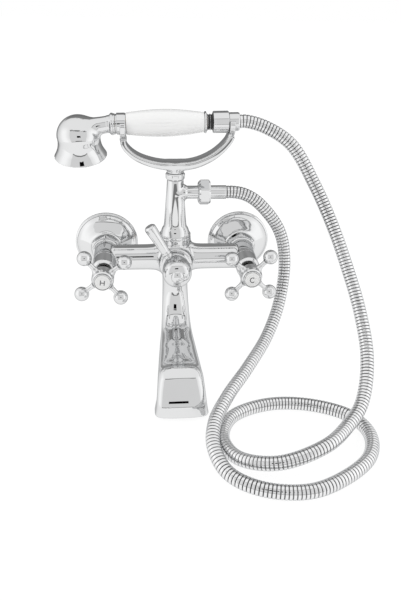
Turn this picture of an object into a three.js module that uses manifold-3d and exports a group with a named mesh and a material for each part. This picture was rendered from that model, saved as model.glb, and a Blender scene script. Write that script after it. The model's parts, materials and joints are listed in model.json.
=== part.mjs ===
// A wall-mounted bath mixer with two cross handles, a lever diverter, a cast spout and a telephone handset.
// Millimetres, +Z up. The wall is the plane Y = 0, and the mixer stands out from it towards -Y.
// X = 0 is the middle of the mixer, and Z = 0 is the height of its inlets and of the bar between them.
import * as THREE from "three";
import { mergeVertices } from "three/addons/utils/BufferGeometryUtils.js";
import Module from "manifold-3d";

const wasm = await Module();
wasm.setup();

// Fits and facets
const CLEARANCE = 0.3;
const OVERRUN = 1;
const LARGE_SIDES = 18;
const SIDES = 10;
const SMALL_SIDES = 8;
const HOLE_SIDES = 6;
const BALL_SIDES = 8;
const BALL_BANDS = 6;
const ARM_SIDES = 6;
const HEX_CHAMFER_SHARE = 0.55;
const MERGE_WITHIN = 1e-4;
const EASE_SHARE = 0.5;
const ROUND_BULGE_SHARE = 0.3;
const DEGREE = Math.PI / 180;
const QUARTER = Math.PI / 2;

// Wall connection
const INLET_SPACING = 150;
const AXIS_OUT = 44;
const WALL_THREAD_D = 20.955;
const WALL_THREAD_LENGTH = 16;
const UNION_THREAD_D = 26.4;
const UNION_FACE_OUT = 23.5;
const ECCENTRIC_OFFSET = 8;
const ECCENTRIC_BORE_D = 13;
const ECCENTRIC_STEP_OUT = 5;
const ECCENTRIC_OVERLAP = 4;
const PLATE_D = 70;
const PLATE_OUT = 19;
const PLATE_NECK_D = 32.4;
const PLATE_WALL = 1.2;
const PLATE_INSET = 1.7;
const PLATE_RIM = 3;
const UNION_WASHER_THICK = 2;
const UNION_NUT_AF = 30;
const UNION_HEX_FRONT_OUT = 25.2;
const UNION_COLLAR_D = 29.2;
const TAIL_FLANGE_THICK = 2.5;
const TAIL_NECK_D = 21.4;
const TAIL_BORE_D = 13;

// Body casting
const BARREL_D = 24.6;
const BARREL_BACK_OUT = 31;
const BARREL_FRONT_OUT = 58;
const BAR_END_D = 27.2;
const BAR_MIDDLE_D = 29.6;
const BAR_END_INSET = 6.15;
const BAR_MIDDLE_REACH = 26.25;
const BAR_BORE_D = 13;
const BOSS_D = 35;
const BOSS_OUT = 66;
const BOSS_ROUND = 3;
const SOCKET_D = 28.6;
const SOCKET_TOP = 24;
const SOCKET_FILLET = 4.5;
const SOCKET_DEPTH = 12;
const NECK_D = 27;
const NECK_FILLET = 8.5;

// Spout
const SPOUT_REACH = 187;
const SPOUT_DROP = 110;
const MOUTH_WIDTH = 53;
const MOUTH_DEPTH = 31;
const MOUTH_WALL = 2.6;
const MOUTH_RECESS = 5;
const SPOUT_ROUND_POWER = 2;
const MOUTH_POWER = 4;
const SPOUT_BORE_D = 11;
const SPOUT_SIDES = 16;
const SPOUT_RINGS = 9;
const SPOUT_BORE_STEPS = 7;
const INSERT_D = 24.6;
const INSERT_LENGTH = 9;
const AERATOR_WALL = 1.4;
const AERATOR_LIP = 2;
const MESH_THICK = 1.2;

// Ceramic headworks
const CHAMBER_D = 21;
const CHAMBER_BACK_OUT = 37.5;
const SEAT_PORT_D = 10;
const SEAL_THICK = 2.2;
const DISC_THICK = 3;
const DISC_D = 16.4;
const MOVING_DISC_D = 15.6;
const DISC_PORT_D = 4.92;
const DISC_PORT_OFFSET = 4.26;
const SHOULDER_D = 22;
const SHOULDER_THICK = 1.5;
const HEADWORK_HEX_AF = 19;
const HEADWORK_HEX_THICK = 4.5;
const HEADWORK_NECK_D = 14;
const SPINDLE_D = 8.4;
const SPINDLE_FOOT_THICK = 2.4;
const SPLINE_D = 7.2;
const SHROUD_WALL = 0.9;
const SHROUD_FRONT_OUT = 80;
const SHROUD_ROUND = 2.6;
const O_RING_D = 2;
const O_RING_GROOVE = 1.2;

// Cross handles
const HUB_BACK_OUT = 86;
const HUB_FRONT_OUT = 106;
const HUB_D = 22.5;
const HUB_FACE_D = 17.6;
const HUB_RECESS = 2;
const HUB_WEB = 2.4;
const HUB_LIP = 0.7;
const HUB_RECESS_BACK = 2;
const ARM_PLANE_OUT = 95.5;
const ARM_D = 4.8;
const ARM_ROOT_D = 7.4;
const BALL_D = 14.8;
const BALL_REACH = 27.75;
const HANDLE_TURN_LEFT = -7.2;
const HANDLE_TURN_RIGHT = 2.3;
const SCREW_HEAD_D = 7;
const SCREW_HEAD_THICK = 2.2;
const SCREW_SHANK_D = 3.6;
const SCREW_LENGTH = 9;
const SCREW_SOCKET_AF = 3;
const CAP_DOME = 0.4;

// Diverter
const DIVERTER_CHAMBER_D = 22;
const DIVERTER_CHAMBER_BACK_OUT = 30;
const ROTOR_D = 18;
const ROTOR_LENGTH = 20;
const ROTOR_PORT_D = 9;
const BONNET_DEPTH = 9;
const BONNET_FLANGE_D = 30;
const BONNET_FLANGE_THICK = 2.6;
const DIVERTER_STEM_D = 9;
const KNOB_D = 28;
const KNOB_BACK_OUT = 69.4;
const KNOB_SHOULDER_OUT = 86;
const KNOB_FRONT_OUT = 100.5;
const KNOB_LIP_D = 30;
const KNOB_LIP_THICK = 2;
const KNOB_LIP_ROUND = 1;
const KNOB_CUP_DEPTH = 3;
const LEVER_OUT = 76;
const LEVER_LEAN = 30.5;
const LEVER_TIP_R = 55;
const LEVER_STAND = 6.5;
const LEVER_TIP_D = 10.5;
const LEVER_ROOT_D = 7.8;
const LEVER_COLLAR_D = 8.4;
const LEVER_COLLAR_THICK = 3.4;
const LEVER_LIP = 0.5;
const LEVER_LIP_THICK = 2.1;
const LEVER_PIN_D = 5;
const LEVER_PIN_DEPTH = 6;

// Riser column
const COLUMN_LIP_D = 33;
const COLUMN_LIP_THICK = 3.2;
const COLUMN_FOOT_D = 29.2;
const COLUMN_WAIST_D = 23.8;
const COLUMN_WAIST_UP = 9;
const COLUMN_TOP = 86;
const COLUMN_TOP_D = 16.4;
const COLUMN_BORE_D = 10;
const SPIGOT_D = 22.4;
const NIPPLE_UP = 72;
const NIPPLE_D = 13.5;
const NIPPLE_BEAD_D = 16;
const NIPPLE_BEAD_THICK = 3;
const NIPPLE_HEAD_START = 23.4;
const NIPPLE_END = 31.5;
const NIPPLE_BORE_D = 8;
const HOSE_THREAD_D = 20.4;
const STEM_SOCKET_DEPTH = 7;

// Cradle
const CRADLE_COLLAR_D = 19.8;
const CRADLE_COLLAR_THICK = 6.7;
const CRADLE_COLLAR_ROUND = 1.2;
const CRADLE_STEM_D = 9;
const CRADLE_ROOT_D = 17;
const CRADLE_ROOT_RISE = 9.6;
const STRAP_WIDE = 18.5;
const STRAP_THICK = 9.4;
const STRAP_THICK_LEFT = 5.6;
const STRAP_THICK_RIGHT = 7.2;
const STRAP_KEEL = 2.2;
const STRAP_SIDES = 8;
const FORK_THICK = 5.4;
const FORK_WALL = 4;
const FORK_CLEARANCE = 0.4;
const FORK_LEFT_X = -51.3;
const FORK_RIGHT_X = 55.2;
const FORK_TIP_ABOVE = 1;
const FORK_ARC_STEPS = 6;
const STRAP_STEPS = 14;
const STRAP_SQUARE = 3;

// Handset
const HANDSET_RISE = 39.8;
const HANDSET_TILT = 1.3;
const HANDSET_ROLL = 13;
const HEAD_X = -94.8;
const BELL_RIM_D = 52;
const BELL_BULB_D = 41.2;
const BELL_HEIGHT = 41;
const BELL_TOP_UP = 8.6;
const BELL_WALL = 1.6;
const ARM_NECK_D = 16.2;
const ARM_DROP = 4.1;
const ARM_STEPS = 4;
const ARM_ROOT_SHARE = 0.25;
const ARM_NECK_BORE_D = 9;
const FLARE_START_X = -65.4;
const FLARE_D = 21;
const FLARE_X = -62.2;
const FLARE_END_X = -58.6;
const FRONT_FERRULE_D = 20.8;
const FERRULE_ROUND = 0.5;
const GRIP_START_X = -48;
const GRIP_END_X = 28;
const GRIP_START_D = 21;
const GRIP_MIDDLE_D = 26.3;
const GRIP_END_D = 19;
const GRIP_MIDDLE_SHARE = 0.47;
const TUBE_D = 11.4;
const TUBE_BORE_D = 8.4;
const TUBE_SOCKET_DEPTH = 8;
const REAR_FERRULE_D = 21;
const REAR_FERRULE_END_X = 30.6;
const TAIL_NECK_WAIST_D = 14.4;
const TAIL_NECK_RING_D = 17;
const TAIL_SHOULDER_SHARE = 0.9;
const CONE_NUT_START_X = 36.8;
const CONE_NUT_END_X = 52.2;
const CONE_NUT_D = 21;
const CONE_NUT_ROUND = 1.2;
const TAIL_THREAD_D = 17.4;
const TAIL_THREAD_END_X = 44.6;
const HOSE_WASHER_THICK = 2;
const HOSE_WASHER_BORE_D = 8;
const END_FLANGE_THICK = 2.2;
const END_NECK_D = 15;
const END_SLEEVE_D = 17.9;
const END_SLEEVE_END_X = 62.8;
const SPRAY_PLATE_THICK = 3;
const SPRAY_HOLE_D = 2.4;
const SPRAY_HOLES = 8;
const SPRAY_RING_SHARE = 0.62;

// Hose
const HOSE_D = 13;
const HOSE_GROOVE_DEPTH = 0.6;
const HOSE_BORE_D = 6.4;
const HOSE_RIBS = 100;
const HOSE_SIDES = 8;
const HOSE_RIBS_PER_BORE_RING = 2;
const HOSE_ARC_DIVISIONS = 2000;
const REPORT_STEP = 4;
const REPORT_APART = 4;
const FLOOR_UP = -112;
const HOSE_NUT_AF = 23.4;
const HOSE_NUT_START = 24.2;
const HOSE_NUT_END = 36;
const HOSE_NUT_LIP = 1.2;
const FERRULE_D = 14;
const FERRULE_END = 52.8;
const FERRULE_BORE_D = 7;

// Heights that follow from one another
const cradleCollarTop = COLUMN_TOP + CLEARANCE + CRADLE_COLLAR_THICK;
const cradleBottom = cradleCollarTop + CRADLE_ROOT_RISE;
const handsetAxisUp = cradleBottom + HANDSET_RISE;

// Finishes
const chrome = () => new THREE.MeshStandardMaterial({ color: 0xd9dcde, roughness: 0.06, metalness: 1 });
const brass = () => new THREE.MeshStandardMaterial({ color: 0xb99a55, roughness: 0.35, metalness: 1 });
const rubber = () => new THREE.MeshStandardMaterial({ color: 0x202022, roughness: 0.8, metalness: 0 });
const ceramic = () => new THREE.MeshStandardMaterial({ color: 0xf0ece4, roughness: 0.3, metalness: 0 });
const whiteGloss = () => new THREE.MeshStandardMaterial({ color: 0xf6f6f4, roughness: 0.18, metalness: 0 });
const steel = () => new THREE.MeshStandardMaterial({ color: 0xa9adb0, roughness: 0.3, metalness: 1 });
const nylon = () => new THREE.MeshStandardMaterial({ color: 0xdadada, roughness: 0.5, metalness: 0 });

// A closed geometry as a solid whose faces point outwards.
function solid(geometry) {
  const bare = geometry.index ? geometry.toNonIndexed() : geometry.clone();
  bare.deleteAttribute("normal");
  bare.deleteAttribute("uv");
  const merged = mergeVertices(bare, MERGE_WITHIN);
  const place = merged.attributes.position.array;
  const kept = [];
  let volume = 0;
  const corners = [new THREE.Vector3(), new THREE.Vector3(), new THREE.Vector3()];
  for (let i = 0; i < merged.index.count; i += 3) {
    const face = [0, 1, 2].map((k) => merged.index.array[i + k]);
    if (new Set(face).size < 3) continue;
    corners.forEach((corner, k) => corner.fromArray(place, face[k] * 3));
    volume += corners[0].dot(corners[1].clone().cross(corners[2]));
    kept.push(face);
  }
  const faces = volume < 0 ? kept.map(([a, b, c]) => [a, c, b]) : kept;
  return new wasm.Manifold(
    new wasm.Mesh({ numProp: 3, vertProperties: place, triVerts: new Uint32Array(faces.flat()) }),
  );
}

const joined = (...parts) => parts.map(solid).reduce((whole, part) => whole.add(part));
const cut = (whole, ...tools) => tools.map(solid).reduce((rest, tool) => rest.subtract(tool), whole);

// A named mesh from a solid or a closed geometry.
function piece(name, shape, material) {
  const made = shape.isBufferGeometry ? solid(shape) : shape;
  const { vertProperties, triVerts } = made.getMesh();
  const geometry = new THREE.BufferGeometry();
  geometry.setAttribute("position", new THREE.BufferAttribute(vertProperties, 3));
  geometry.setIndex(new THREE.BufferAttribute(triVerts, 1));
  geometry.computeVertexNormals();
  const mesh = new THREE.Mesh(geometry, material);
  mesh.name = name;
  return mesh;
}

// Turns a shape made along +Z so that it runs up, out from the wall, or to the right.
const toward = {
  up: (geometry) => geometry,
  out: (geometry) => geometry.rotateX(Math.PI / 2),
  right: (geometry) => geometry.rotateY(Math.PI / 2),
};

// A profile of [radius, distance] pairs turned round an axis. One off the axis closes on itself.
function turned(axis, profile, sides = SIDES, [x, y, z] = [0, 0, 0]) {
  const points = profile.map(([radius, along]) => new THREE.Vector2(radius, along));
  const onAxis = profile[0][0] === 0 && profile.at(-1)[0] === 0;
  if (!onAxis) points.push(points[0].clone());
  const lathe = new THREE.LatheGeometry(points, sides).rotateX(Math.PI / 2);
  return toward[axis](lathe).translate(x, y, z);
}

const rod = (axis, diameter, from, to, sides = SIDES, at = [0, 0, 0]) =>
  turned(axis, [[0, from], [diameter / 2, from], [diameter / 2, to], [0, to]], sides, at);

const ring = (axis, outer, inner, from, to, sides = SIDES, at = [0, 0, 0]) =>
  turned(
    axis,
    [[inner / 2, from], [outer / 2, from], [outer / 2, to], [inner / 2, to]],
    sides,
    at,
  );

// A hexagon bar across flats, with both ends chamfered.
function hexagon(axis, acrossFlats, from, to, at = [0, 0, 0]) {
  const corner = acrossFlats / Math.sqrt(3);
  const chamfer = (corner - acrossFlats / 2) * HEX_CHAMFER_SHARE;
  const bar = solid(rod(axis, corner * 2, from, to, 6, at));
  const inner = acrossFlats / 2;
  const cone = turned(
    axis,
    [[0, from], [inner, from], [corner, from + chamfer], [corner, to - chamfer], [inner, to], [0, to]],
    SIDES,
    at,
  );
  return bar.intersect(solid(cone));
}

// Shares of a width and a length, as [radius, distance] pairs.
const outline = (shares, radius, length, from = 0) =>
  shares.map(([across, along]) => [across * radius, from + along * length]);

// A closed skin through rings of equal count, with a fan at each end.
function loft(rings) {
  const count = rings[0].length;
  const centres = [rings[0], rings.at(-1)].map((points) =>
    points.reduce((sum, point) => sum.add(point), new THREE.Vector3()).divideScalar(count),
  );
  const vertices = [...rings.flat(), ...centres];
  const faces = [];
  rings.slice(1).forEach((_, i) => {
    for (let k = 0; k < count; k += 1) {
      const next = (k + 1) % count;
      const [a, b] = [i * count + k, i * count + next];
      const [c, d] = [a + count, b + count];
      faces.push(a, b, d, a, d, c);
    }
  });
  const last = (rings.length - 1) * count;
  for (let k = 0; k < count; k += 1) {
    const next = (k + 1) % count;
    faces.push(next, k, vertices.length - 2);
    faces.push(last + k, last + next, vertices.length - 1);
  }
  const geometry = new THREE.BufferGeometry().setFromPoints(vertices);
  geometry.setIndex(faces);
  return geometry;
}

// A rounded section: a superellipse whose corners fill out as square grows past 2.
function oval(wide, high, square, count) {
  const power = 2 / square;
  return Array.from({ length: count }, (_, k) => {
    const turn = ((2 * k + 1) / count) * Math.PI;
    const [c, s] = [Math.cos(turn), Math.sin(turn)];
    return [wide * Math.sign(c) * Math.abs(c) ** power, high * Math.sign(s) * Math.abs(s) ** power];
  });
}

// A value read from a table of shares whose rows start with their place along the path.
function shareAt(table, place, column) {
  const upper = table.findIndex((row) => row[0] >= place);
  const [a, b] = [table[Math.max(upper - 1, 0)], table[Math.max(upper, 0)]];
  const part = b[0] > a[0] ? (place - a[0]) / (b[0] - a[0]) : 0;
  const eased = THREE.MathUtils.lerp(part, THREE.MathUtils.smoothstep(part, 0, 1), EASE_SHARE);
  return THREE.MathUtils.lerp(a[column], b[column], eased);
}

// Inlets: the eccentric in the wall, its plate, washer and union nut
const plateShares = [
  [1, 0], [1, 0.11], [0.965, 0.24], [0.855, 0.44], [0.7, 0.64], [0.55, 0.82], [0.463, 1],
];

function wallPlate(name) {
  const scale = PLATE_NECK_D / PLATE_D / plateShares.at(-1)[0];
  const blend = (share, along) => share * THREE.MathUtils.lerp(1, scale, along);
  const outer = plateShares.map(([across, along]) => [
    blend(across, along) * (PLATE_D / 2),
    along * PLATE_OUT,
  ]);
  const bore = UNION_THREAD_D / 2 + CLEARANCE;
  const inner = outer
    .slice(2, -1)
    .filter((_, i) => i !== 1)
    .reverse()
    .map(([radius, out]) => [Math.max(radius - PLATE_INSET, bore), out - PLATE_WALL]);
  const foot = PLATE_D / 2 - PLATE_RIM;
  const profile = [...outer, [bore, PLATE_OUT], ...inner, [foot, 0]];
  return piece(name, turned("out", profile, LARGE_SIDES), chrome());
}

function eccentric(name) {
  const low = [0, 0, -ECCENTRIC_OFFSET];
  const stepEnd = ECCENTRIC_STEP_OUT + ECCENTRIC_OVERLAP;
  const whole = joined(
    rod("out", WALL_THREAD_D, -WALL_THREAD_LENGTH, stepEnd, SIDES, low),
    rod("out", UNION_THREAD_D, ECCENTRIC_STEP_OUT, UNION_FACE_OUT),
  );
  const hollow = cut(
    whole,
    rod("out", ECCENTRIC_BORE_D, -WALL_THREAD_LENGTH - OVERRUN, stepEnd, SMALL_SIDES, low),
    rod("out", ECCENTRIC_BORE_D, ECCENTRIC_STEP_OUT, UNION_FACE_OUT + OVERRUN, SMALL_SIDES),
  );
  return piece(name, hollow, brass());
}

const tailFaceOut = UNION_FACE_OUT + UNION_WASHER_THICK;
const tailFlangeFront = tailFaceOut + TAIL_FLANGE_THICK;

function unionNut(name) {
  const back = PLATE_OUT + 2 * CLEARANCE;
  const front = AXIS_OUT - BAR_END_D / 2 - CLEARANCE;
  const lip = tailFlangeFront + CLEARANCE;
  const nut = cut(
    hexagon("out", UNION_NUT_AF, back, UNION_HEX_FRONT_OUT + OVERRUN).add(
      solid(rod("out", UNION_COLLAR_D, UNION_HEX_FRONT_OUT, front, LARGE_SIDES)),
    ),
    rod("out", UNION_THREAD_D + 2 * CLEARANCE, back - OVERRUN, lip),
    rod("out", TAIL_NECK_D + 2 * CLEARANCE, lip - OVERRUN, front + OVERRUN),
  );
  return piece(name, nut, chrome());
}

function unionWasher(name) {
  const outer = UNION_THREAD_D - OVERRUN;
  const washer = ring("out", outer, TAIL_BORE_D, UNION_FACE_OUT, tailFaceOut, SMALL_SIDES);
  return piece(name, washer, rubber());
}

// Body casting with its spout
const spoutShares = [
  // place along, reach, drop, half width, half depth
  [0, 0, 0.215, 0.02, 0],
  [0.16, 0.02, 0.37, 0.04, 0.01],
  [0.32, 0.13, 0.565, 0.2, 0.05],
  [0.48, 0.31, 0.69, 0.47, 0.06],
  [0.64, 0.53, 0.745, 0.66, 0.1],
  [0.77, 0.75, 0.765, 0.76, 0.2],
  [0.86, 0.905, 0.8, 0.82, 0.42],
  [0.93, 0.98, 0.88, 0.89, 0.62],
  [1, 1, 1, 1, 1],
];

const quarterShares = [0, 0.5, 1];
const barShares = [[0, -1], [0.8, -1], [1, -0.88], [1, -0.62]];

// One ring of the spout: its centre, the slope of the path there, and its rounded section.
function spoutRing(out, up, slope, halfWide, halfDeep, square, sides = SPOUT_SIDES) {
  const across = new THREE.Vector3(1, 0, 0);
  const through = new THREE.Vector3(0, -Math.cos(slope), Math.sin(slope));
  return oval(halfWide, halfDeep, square, sides).map(([a, b]) =>
    new THREE.Vector3(0, -out, up).addScaledVector(across, a).addScaledVector(through, b),
  );
}

function spoutPath() {
  const reach = SPOUT_REACH - MOUTH_DEPTH / 2 - AXIS_OUT;
  return new THREE.CatmullRomCurve3(
    spoutShares.map(([, outShare, dropShare]) =>
      new THREE.Vector3(0, -(AXIS_OUT + outShare * reach), -dropShare * SPOUT_DROP),
    ),
    false,
    "centripetal",
  );
}

function spoutSkin() {
  const barRadius = BAR_MIDDLE_D / 2;
  const neckRadius = NECK_D / 2;
  const inside = [[neckRadius + NECK_FILLET, 0]];
  const fillet = quarterShares.map((share) => {
    const turn = share * QUARTER;
    const wide = neckRadius + NECK_FILLET * (1 - Math.sin(turn));
    return [wide, -barRadius - NECK_FILLET * (1 - Math.cos(turn)) + CLEARANCE];
  });
  const top = [...inside, ...fillet].map(([wide, up]) =>
    spoutRing(AXIS_OUT, up, 0, wide, neckRadius, SPOUT_ROUND_POWER),
  );
  const path = spoutPath();
  const rings = [];
  for (let i = 1; i <= SPOUT_RINGS; i += 1) {
    const place = i / SPOUT_RINGS;
    const centre = path.getPoint(place);
    const along = path.getTangent(place);
    const slope = Math.atan2(-along.y, -along.z);
    const wide = THREE.MathUtils.lerp(neckRadius, MOUTH_WIDTH / 2, shareAt(spoutShares, place, 3));
    const deep = THREE.MathUtils.lerp(neckRadius, MOUTH_DEPTH / 2, shareAt(spoutShares, place, 4));
    const power = THREE.MathUtils.lerp(SPOUT_ROUND_POWER, MOUTH_POWER, place ** 2);
    rings.push(spoutRing(-centre.y, centre.z, slope, wide, deep, power));
  }
  return loft([...top, ...rings]);
}

// The waterway of the spout follows the middle of its skin.
function spoutBore() {
  const path = spoutPath();
  const radius = SPOUT_BORE_D / 2;
  const section = (out, up, slope) =>
    spoutRing(out, up, slope, radius, radius, SPOUT_ROUND_POWER, HOLE_SIDES);
  const rings = [section(AXIS_OUT, 0, 0)];
  const steps = SPOUT_BORE_STEPS;
  for (let i = 1; i <= steps; i += 1) {
    const centre = path.getPoint(i / steps);
    const along = path.getTangent(i / steps);
    const slope = Math.atan2(-along.y, -along.z);
    rings.push(section(-centre.y, centre.z, slope));
  }
  return loft(rings);
}

function mouthFrame() {
  const path = spoutPath();
  const end = path.getPoint(1);
  const along = path.getTangent(1);
  return { end, slope: Math.atan2(-along.y, -along.z) };
}

// The recess of the mouth, as far in from its face as depth says.
function mouthRecess(depth) {
  const { end, slope } = mouthFrame();
  const back = [Math.sin(slope), Math.cos(slope)];
  const [wide, deep] = [MOUTH_WIDTH / 2 - MOUTH_WALL, MOUTH_DEPTH / 2 - MOUTH_WALL];
  const places = [-OVERRUN, depth];
  return loft(
    places.map((d) => spoutRing(-end.y - d * back[0], end.z + d * back[1], slope, wide, deep, MOUTH_POWER)),
  );
}

function mixerBody() {
  const half = INLET_SPACING / 2;
  const axis = [0, -AXIS_OUT, 0];
  const barEnd = half - BAR_END_INSET;
  const endProfile = outline(barShares, BAR_END_D / 2, barEnd);
  const middle = [-BAR_MIDDLE_REACH, BAR_MIDDLE_REACH].map((x) => [BAR_MIDDLE_D / 2, x]);
  const mirrored = [...endProfile].reverse().map(([radius, along]) => [radius, -along]);
  const bar = turned("right", [...endProfile, ...middle, ...mirrored], LARGE_SIDES, axis);
  const bossRadius = BOSS_D / 2;
  const bulge = BOSS_ROUND * ROUND_BULGE_SHARE;
  const boss = turned(
    "out",
    [
      [0, AXIS_OUT],
      [bossRadius - BOSS_ROUND, AXIS_OUT],
      [bossRadius, AXIS_OUT + BOSS_ROUND * 2],
      [bossRadius, BOSS_OUT - BOSS_ROUND],
      [bossRadius - bulge, BOSS_OUT - bulge],
      [bossRadius - BOSS_ROUND, BOSS_OUT],
      [0, BOSS_OUT],
    ],
    LARGE_SIDES,
  );
  const socketRadius = SOCKET_D / 2;
  const socketFoot = quarterShares.map((share) => [
    socketRadius + SOCKET_FILLET * (1 - Math.sin(share * QUARTER)),
    BAR_MIDDLE_D / 2 - CLEARANCE - SOCKET_FILLET * (Math.cos(share * QUARTER) - 1),
  ]);
  const socketOutline = [[socketFoot[0][0], 0], ...socketFoot, [socketRadius, SOCKET_TOP]];
  const socketRings = socketOutline.map(([wide, up]) =>
    spoutRing(AXIS_OUT, up, 0, wide, socketRadius, SPOUT_ROUND_POWER),
  );
  const barrels = [-half, half].flatMap((x) => [
    rod("out", BARREL_D, BARREL_BACK_OUT, BARREL_FRONT_OUT, LARGE_SIDES, [x, 0, 0]),
    rod("out", TAIL_NECK_D, tailFaceOut, BARREL_BACK_OUT + OVERRUN, SIDES, [x, 0, 0]),
    rod("out", UNION_THREAD_D, tailFaceOut, tailFlangeFront, SIDES, [x, 0, 0]),
  ]);
  const whole = joined(bar, boss, loft(socketRings), spoutSkin(), ...barrels);
  const chambers = [-half, half].flatMap((x) => [
    rod("out", CHAMBER_D, CHAMBER_BACK_OUT, BARREL_FRONT_OUT + OVERRUN, SIDES, [x, 0, 0]),
    rod("out", SEAT_PORT_D, tailFaceOut - OVERRUN, CHAMBER_BACK_OUT + OVERRUN, SMALL_SIDES, [x, 0, 0]),
  ]);
  const { end, slope } = mouthFrame();
  const insert = rod("up", INSERT_D, -OVERRUN, MOUTH_RECESS + INSERT_LENGTH, SIDES)
    .rotateX(-slope)
    .translate(0, end.y, end.z);
  const hollow = cut(
    whole,
    ...chambers,
    rod("right", BAR_BORE_D, -half, half, SMALL_SIDES, axis),
    rod("out", DIVERTER_CHAMBER_D, DIVERTER_CHAMBER_BACK_OUT + CLEARANCE, BOSS_OUT + OVERRUN, LARGE_SIDES),
    rod("up", SPIGOT_D + 2 * CLEARANCE, SOCKET_DEPTH, SOCKET_TOP + OVERRUN, LARGE_SIDES, axis),
    rod("up", COLUMN_BORE_D, 0, SOCKET_DEPTH + OVERRUN, SMALL_SIDES, axis),
    spoutBore(),
    mouthRecess(MOUTH_RECESS),
    insert,
  );
  return piece("mixer_body", hollow, chrome());
}

// Aerator in the mouth of the spout
function aerator() {
  const { end, slope } = mouthFrame();
  const group = new THREE.Group();
  group.position.copy(end);
  group.rotation.x = -slope;
  const radius = INSERT_D / 2 - CLEARANCE;
  const top = MOUTH_RECESS + INSERT_LENGTH - CLEARANCE;
  const bottom = MOUTH_RECESS - AERATOR_LIP;
  const inner = radius - AERATOR_WALL;
  const housing = turned("up", [
    [inner, bottom],
    [radius, bottom],
    [radius, top - MESH_THICK],
    [inner - AERATOR_WALL, top - MESH_THICK],
    [inner - AERATOR_WALL, top - MESH_THICK * 2],
    [inner, top - MESH_THICK * 3],
  ]);
  group.add(piece("aerator_housing", housing, chrome()));
  const seal = ring("up", radius * 2, (inner - AERATOR_WALL) * 2, top - MESH_THICK, top);
  group.add(piece("aerator_seal", seal, rubber()));
  const screen = rod("up", (inner - CLEARANCE) * 2, bottom + MESH_THICK, bottom + MESH_THICK * 3);
  group.add(piece("aerator_insert", screen, nylon()));
  return group;
}

// Headworks, shroud and cross handle of one valve
const shoulderFront = BARREL_FRONT_OUT + SHOULDER_THICK;
const sealFront = CHAMBER_BACK_OUT + SEAL_THICK;
const fixedDiscFront = sealFront + DISC_THICK;
const movingDiscFront = fixedDiscFront + CLEARANCE + DISC_THICK;
const footFront = movingDiscFront + CLEARANCE + SPINDLE_FOOT_THICK;
const splineEnd = HUB_FRONT_OUT - HUB_RECESS - SCREW_HEAD_THICK - HUB_WEB - CLEARANCE;

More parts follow.
